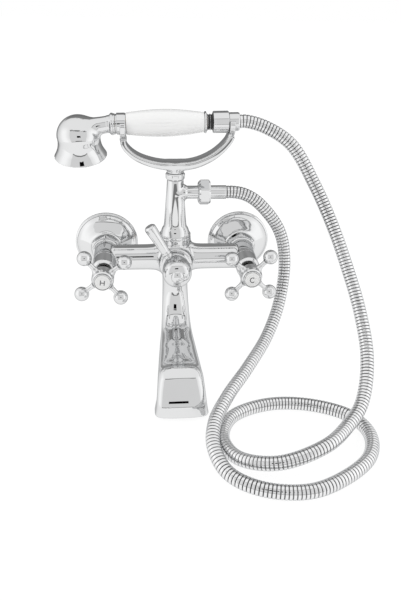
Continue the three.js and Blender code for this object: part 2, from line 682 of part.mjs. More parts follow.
function headwork(side) {
  const group = new THREE.Group();
  const bodyRadius = CHAMBER_D / 2 - CLEARANCE;
  const discBore = DISC_D / 2 + CLEARANCE;
  const stemBore = SPINDLE_D / 2 + CLEARANCE;
  const neckEnd = HUB_BACK_OUT - CLEARANCE;
  const shell = joined(
    turned("out", [
      [discBore, CHAMBER_BACK_OUT + SEAL_THICK / 2],
      [bodyRadius, CHAMBER_BACK_OUT + SEAL_THICK / 2],
      [bodyRadius, BARREL_FRONT_OUT],
      [SHOULDER_D / 2, BARREL_FRONT_OUT],
      [SHOULDER_D / 2, shoulderFront],
      [HEADWORK_NECK_D / 2, shoulderFront],
      [HEADWORK_NECK_D / 2, neckEnd],
      [stemBore, neckEnd],
      [stemBore, footFront + CLEARANCE],
      [discBore, footFront + CLEARANCE],
    ]),
  ).add(hexagon("out", HEADWORK_HEX_AF, shoulderFront, shoulderFront + HEADWORK_HEX_THICK));
  const slot = new THREE.BoxGeometry(CHAMBER_D + OVERRUN, SPINDLE_FOOT_THICK, SEAT_PORT_D);
  slot.translate(0, -movingDiscFront, 0);
  const hexEnd = shoulderFront + HEADWORK_HEX_THICK;
  const stemTool = rod("out", stemBore * 2, shoulderFront - OVERRUN, hexEnd + OVERRUN);
  const grooveTool = ring(
    "out",
    stemBore * 2 + O_RING_GROOVE * 2,
    SPINDLE_D - OVERRUN,
    neckEnd - O_RING_D * 3,
    neckEnd - O_RING_D * 2 + CLEARANCE,
    SMALL_SIDES,
  );
  group.add(piece(`headwork_body_${side}`, cut(shell, slot, stemTool, grooveTool), brass()));

  const seal = ring("out", DISC_D, SEAT_PORT_D, CHAMBER_BACK_OUT, sealFront);
  group.add(piece(`seat_seal_${side}`, seal, rubber()));
  const port = rod("out", DISC_PORT_D, sealFront - OVERRUN, movingDiscFront + OVERRUN, HOLE_SIDES);
  const portAt = (turn) =>
    port.clone().translate(DISC_PORT_OFFSET * Math.cos(turn), 0, DISC_PORT_OFFSET * Math.sin(turn));
  const ports = [portAt(Math.PI / 4), portAt((5 * Math.PI) / 4)];
  const fixed = cut(solid(rod("out", DISC_D, sealFront, fixedDiscFront)), ...ports);
  group.add(piece(`fixed_disc_${side}`, fixed, ceramic()));
  const moving = cut(solid(rod("out", MOVING_DISC_D, fixedDiscFront + CLEARANCE, movingDiscFront)), ...ports);
  group.add(piece(`moving_disc_${side}`, moving, ceramic()));

  const tapD = SCREW_SHANK_D + CLEARANCE * 2;
  const tap = rod("out", tapD, splineEnd - SCREW_LENGTH, splineEnd + OVERRUN, HOLE_SIDES);
  const ringBack = neckEnd - O_RING_D * 3 + CLEARANCE / 2;
  const ringFront = ringBack + O_RING_D;
  const waist = SPINDLE_D / 2 - O_RING_GROOVE / 2;
  const spindle = turned(
    "out",
    [
      [0, movingDiscFront + CLEARANCE],
      [MOVING_DISC_D / 2, movingDiscFront + CLEARANCE],
      [MOVING_DISC_D / 2, footFront],
      [SPINDLE_D / 2, footFront],
      [SPINDLE_D / 2, ringBack - CLEARANCE],
      [waist, ringBack - CLEARANCE],
      [waist, ringFront + CLEARANCE],
      [SPINDLE_D / 2, ringFront + CLEARANCE],
      [SPINDLE_D / 2, HUB_BACK_OUT],
      [SPLINE_D / 2, HUB_BACK_OUT],
      [SPLINE_D / 2, splineEnd],
      [0, splineEnd],
    ],
    SMALL_SIDES,
  );
  group.add(piece(`valve_spindle_${side}`, cut(solid(spindle), tap), brass()));
  const ringBore = waist * 2 + CLEARANCE;
  const oRing = ring("out", SPINDLE_D + CLEARANCE * 2, ringBore, ringBack, ringFront, SMALL_SIDES);
  group.add(piece(`spindle_o_ring_${side}`, oRing, rubber()));

  const inner = SHOULDER_D / 2 + CLEARANCE;
  const outer = BARREL_D / 2;
  const lip = HEADWORK_NECK_D / 2 + CLEARANCE;
  const back = BARREL_FRONT_OUT + CLEARANCE;
  const round = SHROUD_ROUND;
  const bulge = round * ROUND_BULGE_SHARE;
  const shroud = turned(
    "out",
    [
      [inner, back],
      [outer, back],
      [outer, SHROUD_FRONT_OUT - round],
      [outer - bulge, SHROUD_FRONT_OUT - bulge],
      [outer - round, SHROUD_FRONT_OUT],
      [lip, SHROUD_FRONT_OUT],
      [lip, SHROUD_FRONT_OUT - SHROUD_WALL],
      [inner, SHROUD_FRONT_OUT - SHROUD_WALL - round],
    ],
    LARGE_SIDES,
  );
  group.add(piece(`bonnet_shroud_${side}`, shroud, chrome()));
  return group;
}

const hubShares = [
  [0.74, 0], [0.76, 0.09], [0.93, 0.14], [1, 0.24], [1, 0.62],
  [0.93, 0.78], [0.83, 0.9], [0.783, 0.95], [0.783, 1],
];
const armShares = [[0, 0.3], [ARM_ROOT_D / ARM_D, 0.38], [1, 0.5], [1, 0.85], [0, 0.85]];
const capShares = [[1, -0.75], [0.93, 0], [0.6, 0.75], [0, 1]];

function crossHandle(side, turn) {
  const group = new THREE.Group();
  const length = HUB_FRONT_OUT - HUB_BACK_OUT;
  const radius = HUB_D / 2;
  const hubOutline = outline(hubShares, radius, length, HUB_BACK_OUT);
  const hub = turned("out", [[0, HUB_BACK_OUT], ...hubOutline, [0, HUB_FRONT_OUT]]);
  const arms = [0, 1, 2, 3].flatMap((quarter) => {
    const angle = ((2 * quarter + 1) * Math.PI) / 4;
    const arm = turned("right", outline(armShares, ARM_D / 2, BALL_REACH), ARM_SIDES);
    const ball = new THREE.SphereGeometry(BALL_D / 2, BALL_SIDES, BALL_BANDS).translate(BALL_REACH, 0, 0);
    return [arm, ball].map((shape) => shape.rotateY(-angle).translate(0, -ARM_PLANE_OUT, 0));
  });
  const capFloor = HUB_FRONT_OUT - HUB_RECESS;
  const capRadius = HUB_FACE_D / 2 - HUB_LIP;
  const headFloor = capFloor - SCREW_HEAD_THICK;
  const backBore = SPINDLE_D + 2 * CLEARANCE;
  const hollow = cut(
    joined(hub, ...arms),
    rod("out", capRadius * 2, capFloor, HUB_FRONT_OUT + OVERRUN),
    rod("out", SCREW_HEAD_D + 2 * CLEARANCE, headFloor, capFloor + OVERRUN, HOLE_SIDES),
    rod("out", SCREW_SHANK_D + 2 * CLEARANCE, splineEnd - OVERRUN, headFloor + OVERRUN, HOLE_SIDES),
    rod("out", SPLINE_D + 2 * CLEARANCE, HUB_BACK_OUT - OVERRUN, splineEnd + CLEARANCE, SMALL_SIDES),
    rod("out", backBore, HUB_BACK_OUT - OVERRUN, HUB_BACK_OUT + HUB_RECESS_BACK, SMALL_SIDES),
  );
  group.add(piece(`cross_handle_${side}`, hollow, chrome()));

  const head = rod("out", SCREW_HEAD_D, headFloor, capFloor - CLEARANCE, HOLE_SIDES);
  const shank = rod("out", SCREW_SHANK_D, headFloor - SCREW_LENGTH, headFloor + OVERRUN, HOLE_SIDES);
  const key = rod("out", SCREW_SOCKET_AF, headFloor + SCREW_HEAD_THICK / 2, capFloor + OVERRUN, 6);
  group.add(piece(`handle_screw_${side}`, cut(joined(head, shank), key), steel()));

  const capOuter = capRadius - CLEARANCE;
  const cap = turned("out", [
    [0, capFloor],
    [capOuter, capFloor],
    ...outline(capShares, capOuter, CAP_DOME, HUB_FRONT_OUT),
  ]);
  group.add(piece(`index_cap_${side}`, cap, whiteGloss()));
  group.rotation.y = -turn * DEGREE;
  return group;
}

function valve(side, sign, turn) {
  const group = new THREE.Group();
  group.position.x = (sign * INLET_SPACING) / 2;
  group.add(eccentric(`inlet_eccentric_${side}`));
  group.add(wallPlate(`wall_plate_${side}`));
  group.add(unionWasher(`union_washer_${side}`));
  group.add(unionNut(`union_nut_${side}`));
  group.add(headwork(side));
  group.add(crossHandle(side, turn));
  return group;
}

// Diverter in the front boss
const domeShares = [0, 0.22, 0.45, 0.67, 0.85];
const leverTipShares = [[1, -1], [0.94, -0.4], [0.72, -0.1], [0.4, 0], [0, 0]];

function diverter() {
  const group = new THREE.Group();
  const leverRoot = KNOB_D / 2 + LEVER_STAND;
  const stem = DIVERTER_STEM_D / 2;
  const thread = DIVERTER_CHAMBER_D / 2 - CLEARANCE;
  const flangeFront = BOSS_OUT + BONNET_FLANGE_THICK;
  const bonnet = turned(
    "out",
    [
      [stem + CLEARANCE, BOSS_OUT - BONNET_DEPTH],
      [thread, BOSS_OUT - BONNET_DEPTH],
      [thread, BOSS_OUT],
      [BONNET_FLANGE_D / 2, BOSS_OUT],
      [BONNET_FLANGE_D / 2, flangeFront - BONNET_FLANGE_THICK / 3],
      [BONNET_FLANGE_D / 2 - BONNET_FLANGE_THICK / 3, flangeFront],
      [stem + CLEARANCE, flangeFront],
    ],
    LARGE_SIDES,
  );
  group.add(piece("diverter_bonnet", bonnet, chrome()));

  const rotorFront = BOSS_OUT - BONNET_DEPTH - CLEARANCE;
  const rotorBack = rotorFront - ROTOR_LENGTH;
  const cup = KNOB_BACK_OUT + KNOB_CUP_DEPTH;
  const stemEnd = KNOB_SHOULDER_OUT - CLEARANCE;
  const rotor = turned(
    "out",
    [
      [0, rotorBack],
      [ROTOR_D / 2, rotorBack],
      [ROTOR_D / 2, rotorFront],
      [stem, rotorFront],
      [stem, stemEnd],
      [0, stemEnd],
    ],
    SMALL_SIDES,
  );
  const middle = (rotorBack + rotorFront) / 2;
  const down = rod("up", ROTOR_PORT_D, -ROTOR_D, 0, HOLE_SIDES, [0, -middle, 0]);
  const across = rod("right", ROTOR_PORT_D, -ROTOR_D, ROTOR_D, HOLE_SIDES, [0, -middle, 0]);
  group.add(piece("diverter_spindle", cut(solid(rotor), down, across), brass()));

  const dome = domeShares.map((share) => [
    (KNOB_D / 2) * Math.cos(share * QUARTER),
    KNOB_SHOULDER_OUT + (KNOB_FRONT_OUT - KNOB_SHOULDER_OUT) * Math.sin(share * QUARTER),
  ]);
  const knob = turned(
    "out",
    [
      [0, KNOB_BACK_OUT],
      [KNOB_LIP_D / 2, KNOB_BACK_OUT],
      [KNOB_LIP_D / 2, KNOB_BACK_OUT + KNOB_LIP_THICK],
      [KNOB_D / 2, KNOB_BACK_OUT + KNOB_LIP_THICK + KNOB_LIP_ROUND],
      ...dome,
      [0, KNOB_FRONT_OUT],
    ],
    LARGE_SIDES,
  );
  const pinHole = rod("up", LEVER_PIN_D + 2 * CLEARANCE, KNOB_D / 2 - LEVER_PIN_DEPTH, KNOB_D, SMALL_SIDES)
    .rotateY(-LEVER_LEAN * DEGREE)
    .translate(0, -LEVER_OUT, 0);
  const hollowKnob = cut(
    solid(knob),
    rod("out", (stem + CLEARANCE) * 2, KNOB_BACK_OUT - OVERRUN, KNOB_SHOULDER_OUT),
    rod("out", (stem + KNOB_CUP_DEPTH) * 2, KNOB_BACK_OUT - OVERRUN, cup),
    pinHole,
  );
  group.add(piece("diverter_knob", hollowKnob, chrome()));

  const lever = new THREE.Group();
  lever.position.y = -LEVER_OUT;
  lever.rotation.y = -LEVER_LEAN * DEGREE;
  const collarStart = KNOB_D / 2 + CLEARANCE;
  const collarEnd = collarStart + LEVER_COLLAR_THICK;
  const pinBore = LEVER_PIN_D + 2 * CLEARANCE;
  const collar = ring("up", LEVER_COLLAR_D, pinBore, collarStart, collarEnd, SMALL_SIDES);
  lever.add(piece("lever_collar", collar, chrome()));
  const tip = LEVER_TIP_D / 2;
  const bar = turned("up", [
    [0, KNOB_D / 2 - LEVER_PIN_DEPTH + CLEARANCE],
    [LEVER_PIN_D / 2, KNOB_D / 2 - LEVER_PIN_DEPTH + CLEARANCE],
    [LEVER_PIN_D / 2, leverRoot - LEVER_LIP_THICK],
    [LEVER_ROOT_D / 2 + LEVER_LIP, leverRoot - LEVER_LIP_THICK],
    [LEVER_ROOT_D / 2 + LEVER_LIP, leverRoot],
    [LEVER_ROOT_D / 2, leverRoot + LEVER_LIP * 2],
    ...outline(leverTipShares, tip, tip, LEVER_TIP_R),
  ]);
  lever.add(piece("lever_rod", bar, chrome()));
  group.add(lever);
  return group;
}

// Riser column with the hose nipple, and the collar and cradle on top of it
const columnBase = SOCKET_TOP + CLEARANCE;
const flareShares = [0, 0.35, 1];

function riserColumn() {
  const axis = [0, -AXIS_OUT, 0];
  const lip = COLUMN_LIP_D / 2;
  const base = columnBase + COLUMN_LIP_THICK;
  const waistUp = base + COLUMN_WAIST_UP;
  const [foot, waist] = [COLUMN_FOOT_D / 2, COLUMN_WAIST_D / 2];
  const flare = flareShares.map((share) => [
    waist + (foot - waist) * (1 - share) ** 2,
    base + share * (waistUp - base),
  ]);
  const shaft = turned(
    "up",
    [
      [0, SOCKET_DEPTH + CLEARANCE],
      [SPIGOT_D / 2, SOCKET_DEPTH + CLEARANCE],
      [SPIGOT_D / 2, columnBase],
      [lip - COLUMN_LIP_THICK / 3, columnBase],
      [lip, columnBase + COLUMN_LIP_THICK / 3],
      [lip, base - COLUMN_LIP_THICK / 3],
      [lip - COLUMN_LIP_THICK / 3, base],
      ...flare,
      [COLUMN_TOP_D / 2, COLUMN_TOP],
      [0, COLUMN_TOP],
    ],
    LARGE_SIDES,
    axis,
  );
  const nippleAxis = [0, -AXIS_OUT, NIPPLE_UP];
  const stemBore = CRADLE_STEM_D + 2 * CLEARANCE;
  const bead = COLUMN_TOP_D / 2 + NIPPLE_BEAD_THICK;
  const nipple = turned(
    "right",
    [
      [0, 0],
      [NIPPLE_BEAD_D / 2, 0],
      [NIPPLE_BEAD_D / 2, bead - NIPPLE_BEAD_THICK / 3],
      [NIPPLE_D / 2, bead + NIPPLE_BEAD_THICK / 3],
      [NIPPLE_D / 2, NIPPLE_HEAD_START],
      [HOSE_THREAD_D / 2, NIPPLE_HEAD_START],
      [HOSE_THREAD_D / 2, NIPPLE_END],
      [0, NIPPLE_END],
    ],
    SIDES,
    nippleAxis,
  );
  const hollow = cut(
    joined(shaft, nipple),
    rod("up", COLUMN_BORE_D, SOCKET_DEPTH - OVERRUN, NIPPLE_UP + NIPPLE_BORE_D / 2, SMALL_SIDES, axis),
    rod("right", NIPPLE_BORE_D, 0, NIPPLE_END + OVERRUN, SMALL_SIDES, nippleAxis),
    rod("up", stemBore, COLUMN_TOP - STEM_SOCKET_DEPTH, COLUMN_TOP + OVERRUN, SIDES, axis),
    sealGroove(),
  );
  return piece("riser_column", hollow, chrome());
}

const sealUp = (SOCKET_DEPTH + SOCKET_TOP) / 2;

const sealGroove = () =>
  ring(
    "up",
    SPIGOT_D + OVERRUN,
    SPIGOT_D - 2 * O_RING_GROOVE,
    sealUp - O_RING_D / 2 - CLEARANCE,
    sealUp + O_RING_D / 2 + CLEARANCE,
    SIDES,
    [0, -AXIS_OUT, 0],
  );

function columnSeal() {
  const outer = SPIGOT_D + CLEARANCE;
  const inner = SPIGOT_D - 2 * O_RING_GROOVE + 2 * CLEARANCE;
  const [low, high] = [sealUp - O_RING_D / 2, sealUp + O_RING_D / 2];
  const seal = ring("up", outer, inner, low, high, SIDES, [0, -AXIS_OUT, 0]);
  return piece("column_seal", seal, rubber());
}

function cradleCollar() {
  const radius = CRADLE_COLLAR_D / 2;
  const round = CRADLE_COLLAR_ROUND;
  const bottom = COLUMN_TOP + CLEARANCE;
  const bore = CRADLE_STEM_D / 2 + CLEARANCE;
  const collar = turned(
    "up",
    [
      [bore, bottom],
      [radius - round, bottom],
      [radius, bottom + round],
      [radius, cradleCollarTop - round],
      [radius - round, cradleCollarTop],
      [bore, cradleCollarTop],
    ],
    SIDES,
    [0, -AXIS_OUT, 0],
  );
  return piece("cradle_collar", collar, chrome());
}

// Height of the handset's axis at a place along it.
const handsetUp = (x) => handsetAxisUp + x * Math.tan(HANDSET_TILT * DEGREE);

// Left and right halves of the strap: share of the way out to the fork, share of the way up to its foot.
const strapLeftShares = [[1, 1], [0.985, 0.8], [0.92, 0.6], [0.74, 0.31], [0.4, 0.07]];
const strapRightShares = [[0.36, 0.07], [0.64, 0.29], [0.83, 0.56], [0.95, 0.82], [1, 1]];

function strapPath() {
  const footLeft = handsetUp(FORK_LEFT_X) - FRONT_FERRULE_D / 2 - FORK_WALL - cradleBottom;
  const footRight = handsetUp(FORK_RIGHT_X) - END_SLEEVE_D / 2 - FORK_WALL - cradleBottom;
  const left = strapLeftShares.map(([x, up]) => [x * FORK_LEFT_X, up * footLeft]);
  const right = strapRightShares.map(([x, up]) => [x * FORK_RIGHT_X, up * footRight]);
  const points = [...left, [0, 0], ...right].map(
    ([x, up]) => new THREE.Vector3(x, -AXIS_OUT, cradleBottom + up),
  );
  return new THREE.CatmullRomCurve3(points, false, "centripetal");
}

function strap() {
  const path = strapPath();
  const steps = STRAP_STEPS;
  const rings = Array.from({ length: steps + 1 }, (_, i) => {
    const place = i / steps;
    const centre = path.getPointAt(place);
    const along = path.getTangentAt(place);
    const normal = new THREE.Vector3(-along.z, 0, along.x);
    const end = centre.x < 0 ? STRAP_THICK_LEFT : STRAP_THICK_RIGHT;
    const side = Math.abs(2 * place - 1);
    const thick = THREE.MathUtils.lerp(STRAP_THICK, end, side);
    const keel = STRAP_KEEL * (1 - side);
    return oval(STRAP_WIDE / 2, thick / 2, STRAP_SQUARE, STRAP_SIDES).map(([a, b]) =>
      centre.clone().add(new THREE.Vector3(0, a, 0)).addScaledVector(normal, b - keel),
    );
  });
  return loft(rings);
}

// A fork plate across the handset's axis, open at the top, for a seat of the given diameter.
function fork(x, seat) {
  const inner = seat / 2 + FORK_CLEARANCE;
  const outer = inner + FORK_WALL;
  const tip = FORK_WALL / 2;
  const shape = new THREE.Shape();
  shape.moveTo(outer, 0);
  shape.absarc(outer - tip, FORK_TIP_ABOVE, tip, 0, Math.PI, false);
  shape.absarc(0, 0, inner, 0, Math.PI, true);
  shape.absarc(-(outer - tip), FORK_TIP_ABOVE, tip, 0, Math.PI, false);
  shape.absarc(0, 0, outer, Math.PI, 2 * Math.PI, false);
  const plate = new THREE.ExtrudeGeometry(shape, {
    depth: FORK_THICK,
    bevelEnabled: false,
    curveSegments: FORK_ARC_STEPS,
  });
  plate.rotateX(Math.PI / 2).rotateZ(Math.PI / 2);
  return plate.translate(x - FORK_THICK / 2, -AXIS_OUT, handsetUp(x));
}

function cradle() {
  const axis = [0, -AXIS_OUT, 0];
  const root = turned(
    "up",
    [
      [0, COLUMN_TOP - STEM_SOCKET_DEPTH + CLEARANCE],
      [CRADLE_STEM_D / 2, COLUMN_TOP - STEM_SOCKET_DEPTH + CLEARANCE],
      [CRADLE_STEM_D / 2, cradleCollarTop + CLEARANCE],
      [CRADLE_ROOT_D / 2, cradleCollarTop + CLEARANCE],
      [CRADLE_ROOT_D / 2, cradleBottom],
      [0, cradleBottom],
    ],
    SIDES,
    axis,
  );
  const whole = joined(strap(), root, fork(FORK_LEFT_X, FRONT_FERRULE_D), fork(FORK_RIGHT_X, END_SLEEVE_D));
  return piece("cradle", whole, chrome());
}

// Handset, in its own frame: X along its axis, origin above the middle of the mixer
const bellShares = [
  [1, 0], [0.985, 0.03], [0.93, 0.1], [0.86, 0.19], [0.81, 0.3], [0.797, 0.4], [0.817, 0.52],
];

const crownShares = [0.25, 0.5, 0.75];
const innerCrownShares = [0.5];

// Outline of the bell from its rim to its top, as [radius, height above the rim].
function bellOutline(shrink) {
  const radius = BELL_RIM_D / 2;
  const shares = shrink ? bellShares.filter((_, i) => i % 2 === 0) : bellShares;
  const flare = shares.map(([across, along]) => [across * radius - shrink, along * BELL_HEIGHT]);
  const start = bellShares.at(-1)[1] * BELL_HEIGHT;
  const crown = (shrink ? innerCrownShares : crownShares).map((share) => [
    (BELL_BULB_D / 2 - shrink) * Math.cos(share * QUARTER),
    start + (BELL_HEIGHT - start - shrink) * Math.sin(share * QUARTER),
  ]);
  return [...flare, ...crown, [0, BELL_HEIGHT - shrink]];
}

const rimUp = BELL_TOP_UP - BELL_HEIGHT;
const plateTop = BELL_HEIGHT * bellShares[2][1];
const plateTopRadius = bellShares[2][0] * (BELL_RIM_D / 2) - BELL_WALL - CLEARANCE;
const plateFlare = (BELL_RIM_D / 2) * (1 - bellShares[2][0]);
const plateRadius = plateTopRadius + plateFlare * (SPRAY_PLATE_THICK / plateTop);

// The neck drops a little on its way to the bell.
function bentNeck() {
  const radius = ARM_NECK_D / 2;
  const start = HEAD_X + radius;
  const rings = Array.from({ length: ARM_STEPS + 1 }, (_, i) => {
    const share = i / ARM_STEPS;
    const x = THREE.MathUtils.lerp(start, FLARE_START_X + CLEARANCE, share);
    const wide = radius * (1 + ARM_ROOT_SHARE * (1 - share) ** 2);
    const drop = ARM_DROP * (1 - share);
    return oval(wide, wide, 2, SIDES).map(([a, b]) => new THREE.Vector3(x, a, b - drop));
  });
  return loft(rings);
}

function handsetHead() {
  const at = [HEAD_X, 0, rimUp];
  const bell = turned("up", [[0, 0], ...bellOutline(0)], LARGE_SIDES, at);
  const mouth = [[0, -OVERRUN], [BELL_RIM_D / 2 - BELL_WALL, -OVERRUN]];
  const cavity = turned("up", [...mouth, ...bellOutline(BELL_WALL)], LARGE_SIDES, at);
  const flare = turned("right", [
    [0, FLARE_START_X],
    [ARM_NECK_D / 2, FLARE_START_X],
    [FLARE_D / 2, FLARE_X],
    [FLARE_D / 2, FLARE_END_X - BELL_WALL / 2],
    [FLARE_D / 2 - BELL_WALL / 2, FLARE_END_X],
    [0, FLARE_END_X],
  ]);
  const socketStart = FLARE_END_X - TUBE_SOCKET_DEPTH;
  const hollow = cut(
    joined(bell, bentNeck(), flare),
    cavity,
    rod("right", ARM_NECK_BORE_D, HEAD_X, FLARE_END_X, SMALL_SIDES),
    rod("right", TUBE_D + 2 * CLEARANCE, socketStart, FLARE_END_X + OVERRUN, SMALL_SIDES),
  );
  return piece("handset_head", hollow, chrome());
}

function sprayPlate() {
  const profile = [
    [0, 0],
    [plateRadius, 0],
    [plateTopRadius, SPRAY_PLATE_THICK],
    [0, SPRAY_PLATE_THICK],
  ];
  const up = rimUp + plateTop - SPRAY_PLATE_THICK;
  const disc = turned("up", profile, LARGE_SIDES, [HEAD_X, 0, up]);
  const holes = Array.from({ length: SPRAY_HOLES }, (_, k) => {
    const turn = (k / SPRAY_HOLES) * 2 * Math.PI;
    const spread = plateRadius * SPRAY_RING_SHARE;
    const at = [HEAD_X + spread * Math.cos(turn), spread * Math.sin(turn), up];
    return rod("up", SPRAY_HOLE_D, -SPRAY_PLATE_THICK, SPRAY_PLATE_THICK + OVERRUN, HOLE_SIDES, at);
  });
  return piece("spray_plate", cut(solid(disc), ...holes), whiteGloss());
}

const gripShares = [0, 0.14, 0.3, GRIP_MIDDLE_SHARE, 0.65, 0.84, 1];

function grip() {
  const length = GRIP_END_X - GRIP_START_X;
  const swell = gripShares.map((share) => {
    const front = share < GRIP_MIDDLE_SHARE;
    const side = front ? share / GRIP_MIDDLE_SHARE : (1 - share) / (1 - GRIP_MIDDLE_SHARE);
    const end = front ? GRIP_START_D : GRIP_END_D;
    const radius = (end + (GRIP_MIDDLE_D - end) * Math.sin((side * Math.PI) / 2)) / 2;
    return [radius, GRIP_START_X + share * length];
  });
  const bore = TUBE_D / 2 + CLEARANCE;
  const sleeve = turned("right", [[bore, GRIP_START_X], ...swell, [bore, GRIP_END_X]], LARGE_SIDES);
  return piece("handset_grip", sleeve, whiteGloss());
}

function frontFerrule() {
  const radius = FRONT_FERRULE_D / 2;
  const start = FLARE_END_X + CLEARANCE;
  const end = GRIP_START_X - CLEARANCE;
  const groove = O_RING_D / 2;
  const bore = TUBE_D / 2 + CLEARANCE;
  const ferrule = turned("right", [
    [bore, start],
    [radius - groove, start],
    [radius - groove, start + groove],
    [radius, start + groove + FERRULE_ROUND],
    [radius, end],
    [bore, end],
  ]);
  return piece("grip_ferrule_front", ferrule, chrome());
}

function rearFerrule() {
  const radius = REAR_FERRULE_D / 2;
  const start = GRIP_END_X + CLEARANCE;
  const bore = TUBE_D / 2 + CLEARANCE;
  const half = (REAR_FERRULE_END_X - start) / 2;
  const lip = turned("right", [
    [bore, start],
    [radius - half / 2, start],
    [radius, start + half / 2],
    [radius, REAR_FERRULE_END_X - half],
    [TAIL_NECK_RING_D / 2, REAR_FERRULE_END_X],
    [bore, REAR_FERRULE_END_X],
  ]);
  return piece("grip_ferrule_rear", lip, chrome());
}

const innerTubeStart = FLARE_END_X - TUBE_SOCKET_DEPTH + CLEARANCE;
const tailSocketEnd = REAR_FERRULE_END_X + O_RING_D;

function innerTube() {
  const tube = ring("right", TUBE_D, TUBE_BORE_D, innerTubeStart, tailSocketEnd, SMALL_SIDES);
  return piece("handset_tube", tube, brass());
}

// How far the neck rises from its waist to its rings, and the share of the way along.
const tailNeckShares = [[0.8, 0], [0, 0.28], [0.6, 0.48], [0, 0.68]];

function tailFitting() {
  const start = REAR_FERRULE_END_X + CLEARANCE;
  const neckLength = CONE_NUT_START_X - start;
  const thread = TAIL_THREAD_D / 2;
  const [waist, bead] = [TAIL_NECK_WAIST_D / 2, TAIL_NECK_RING_D / 2];
  const fitting = turned("right", [
    [0, start],
    ...tailNeckShares.map(([rise, along]) => [waist + (bead - waist) * rise, start + neckLength * along]),
    [thread, start + neckLength * TAIL_SHOULDER_SHARE],
    [thread, TAIL_THREAD_END_X],
    [0, TAIL_THREAD_END_X],
  ]);
  const hollow = cut(
    solid(fitting),
    rod("right", TUBE_D + 2 * CLEARANCE, start - OVERRUN, tailSocketEnd + CLEARANCE, SMALL_SIDES),
    rod("right", HOSE_WASHER_BORE_D, start, TAIL_THREAD_END_X + OVERRUN, SMALL_SIDES),
  );
  return piece("tail_fitting", hollow, chrome());
}

// Fittings at the handset end of the hose
const handsetWasherEnd = TAIL_THREAD_END_X + HOSE_WASHER_THICK;
const endFlangeEnd = handsetWasherEnd + END_FLANGE_THICK;

function coneNut() {
  const radius = CONE_NUT_D / 2;
  const bore = TAIL_THREAD_D / 2 + CLEARANCE;
  const lip = endFlangeEnd + CLEARANCE;
  const round = BELL_WALL / 2;
  const nut = turned(
    "right",
    [
      [bore, CONE_NUT_START_X],
      [radius - round, CONE_NUT_START_X],
      [radius, CONE_NUT_START_X + round],
      [radius, CONE_NUT_END_X - CONE_NUT_ROUND],
      [radius - round, CONE_NUT_END_X],
      [END_NECK_D / 2 + CLEARANCE, CONE_NUT_END_X],
      [END_NECK_D / 2 + CLEARANCE, lip],
      [bore, lip],
    ],
  );
  return piece("handset_hose_nut", nut, chrome());
}

function endFerrule() {
  const sleeve = END_SLEEVE_D / 2;
  const start = CONE_NUT_END_X + CLEARANCE;
  const bore = FERRULE_BORE_D / 2;
  const fitting = turned("right", [
    [bore, handsetWasherEnd],
    [TAIL_THREAD_D / 2, handsetWasherEnd],
    [TAIL_THREAD_D / 2, endFlangeEnd],
    [END_NECK_D / 2, endFlangeEnd],
    [END_NECK_D / 2, start],
    [sleeve, start],
    [sleeve, END_SLEEVE_END_X - BELL_WALL],
    [sleeve - BELL_WALL / 2, END_SLEEVE_END_X],
    [bore, END_SLEEVE_END_X],
  ]);
  return piece("hose_ferrule_handset", fitting, chrome());
}

function handset() {
  const group = new THREE.Group();
  group.position.set(0, -AXIS_OUT, handsetAxisUp);
  group.rotation.set(HANDSET_ROLL * DEGREE, -HANDSET_TILT * DEGREE, 0, "YXZ");
  group.add(handsetHead(), sprayPlate(), frontFerrule(), grip(), rearFerrule());
  group.add(innerTube(), tailFitting(), coneNut(), endFerrule());
  const washer = ring(
    "right",
    TAIL_THREAD_D,
    HOSE_WASHER_BORE_D,
    TAIL_THREAD_END_X,
    handsetWasherEnd,
  );
  group.add(piece("hose_washer_handset", washer, rubber()));
  return group;
}

// Fittings at the mixer end of the hose
const mixerWasherEnd = NIPPLE_END + HOSE_WASHER_THICK;

function mixerHoseFittings() {
  const group = new THREE.Group();
  group.position.set(0, -AXIS_OUT, NIPPLE_UP);
  const thread = HOSE_THREAD_D / 2;
  const lip = HOSE_NUT_END - HOSE_NUT_LIP;
  const flangeEnd = lip - CLEARANCE;
  const neck = FERRULE_D / 2;
  const nut = cut(
    hexagon("right", HOSE_NUT_AF, HOSE_NUT_START, HOSE_NUT_END),
    rod("right", HOSE_THREAD_D + 2 * CLEARANCE, HOSE_NUT_START - OVERRUN, lip),
    rod("right", FERRULE_D + 2 * CLEARANCE, lip - OVERRUN, HOSE_NUT_END + OVERRUN),
  );
  group.add(piece("hose_nut_mixer", nut, chrome()));
  const washer = ring("right", thread * 2, NIPPLE_BORE_D, NIPPLE_END, mixerWasherEnd);
  group.add(piece("hose_washer_mixer", washer, rubber()));
  const bore = FERRULE_BORE_D / 2;
  const ferrule = turned("right", [
    [bore, mixerWasherEnd],
    [thread, mixerWasherEnd],
    [thread, flangeEnd],
    [neck, flangeEnd],
    [neck, FERRULE_END - HOSE_NUT_LIP / 2],
    [neck - HOSE_NUT_LIP / 3, FERRULE_END],
    [bore, FERRULE_END],
  ]);
  group.add(piece("hose_ferrule_mixer", ferrule, chrome()));
  return group;
}

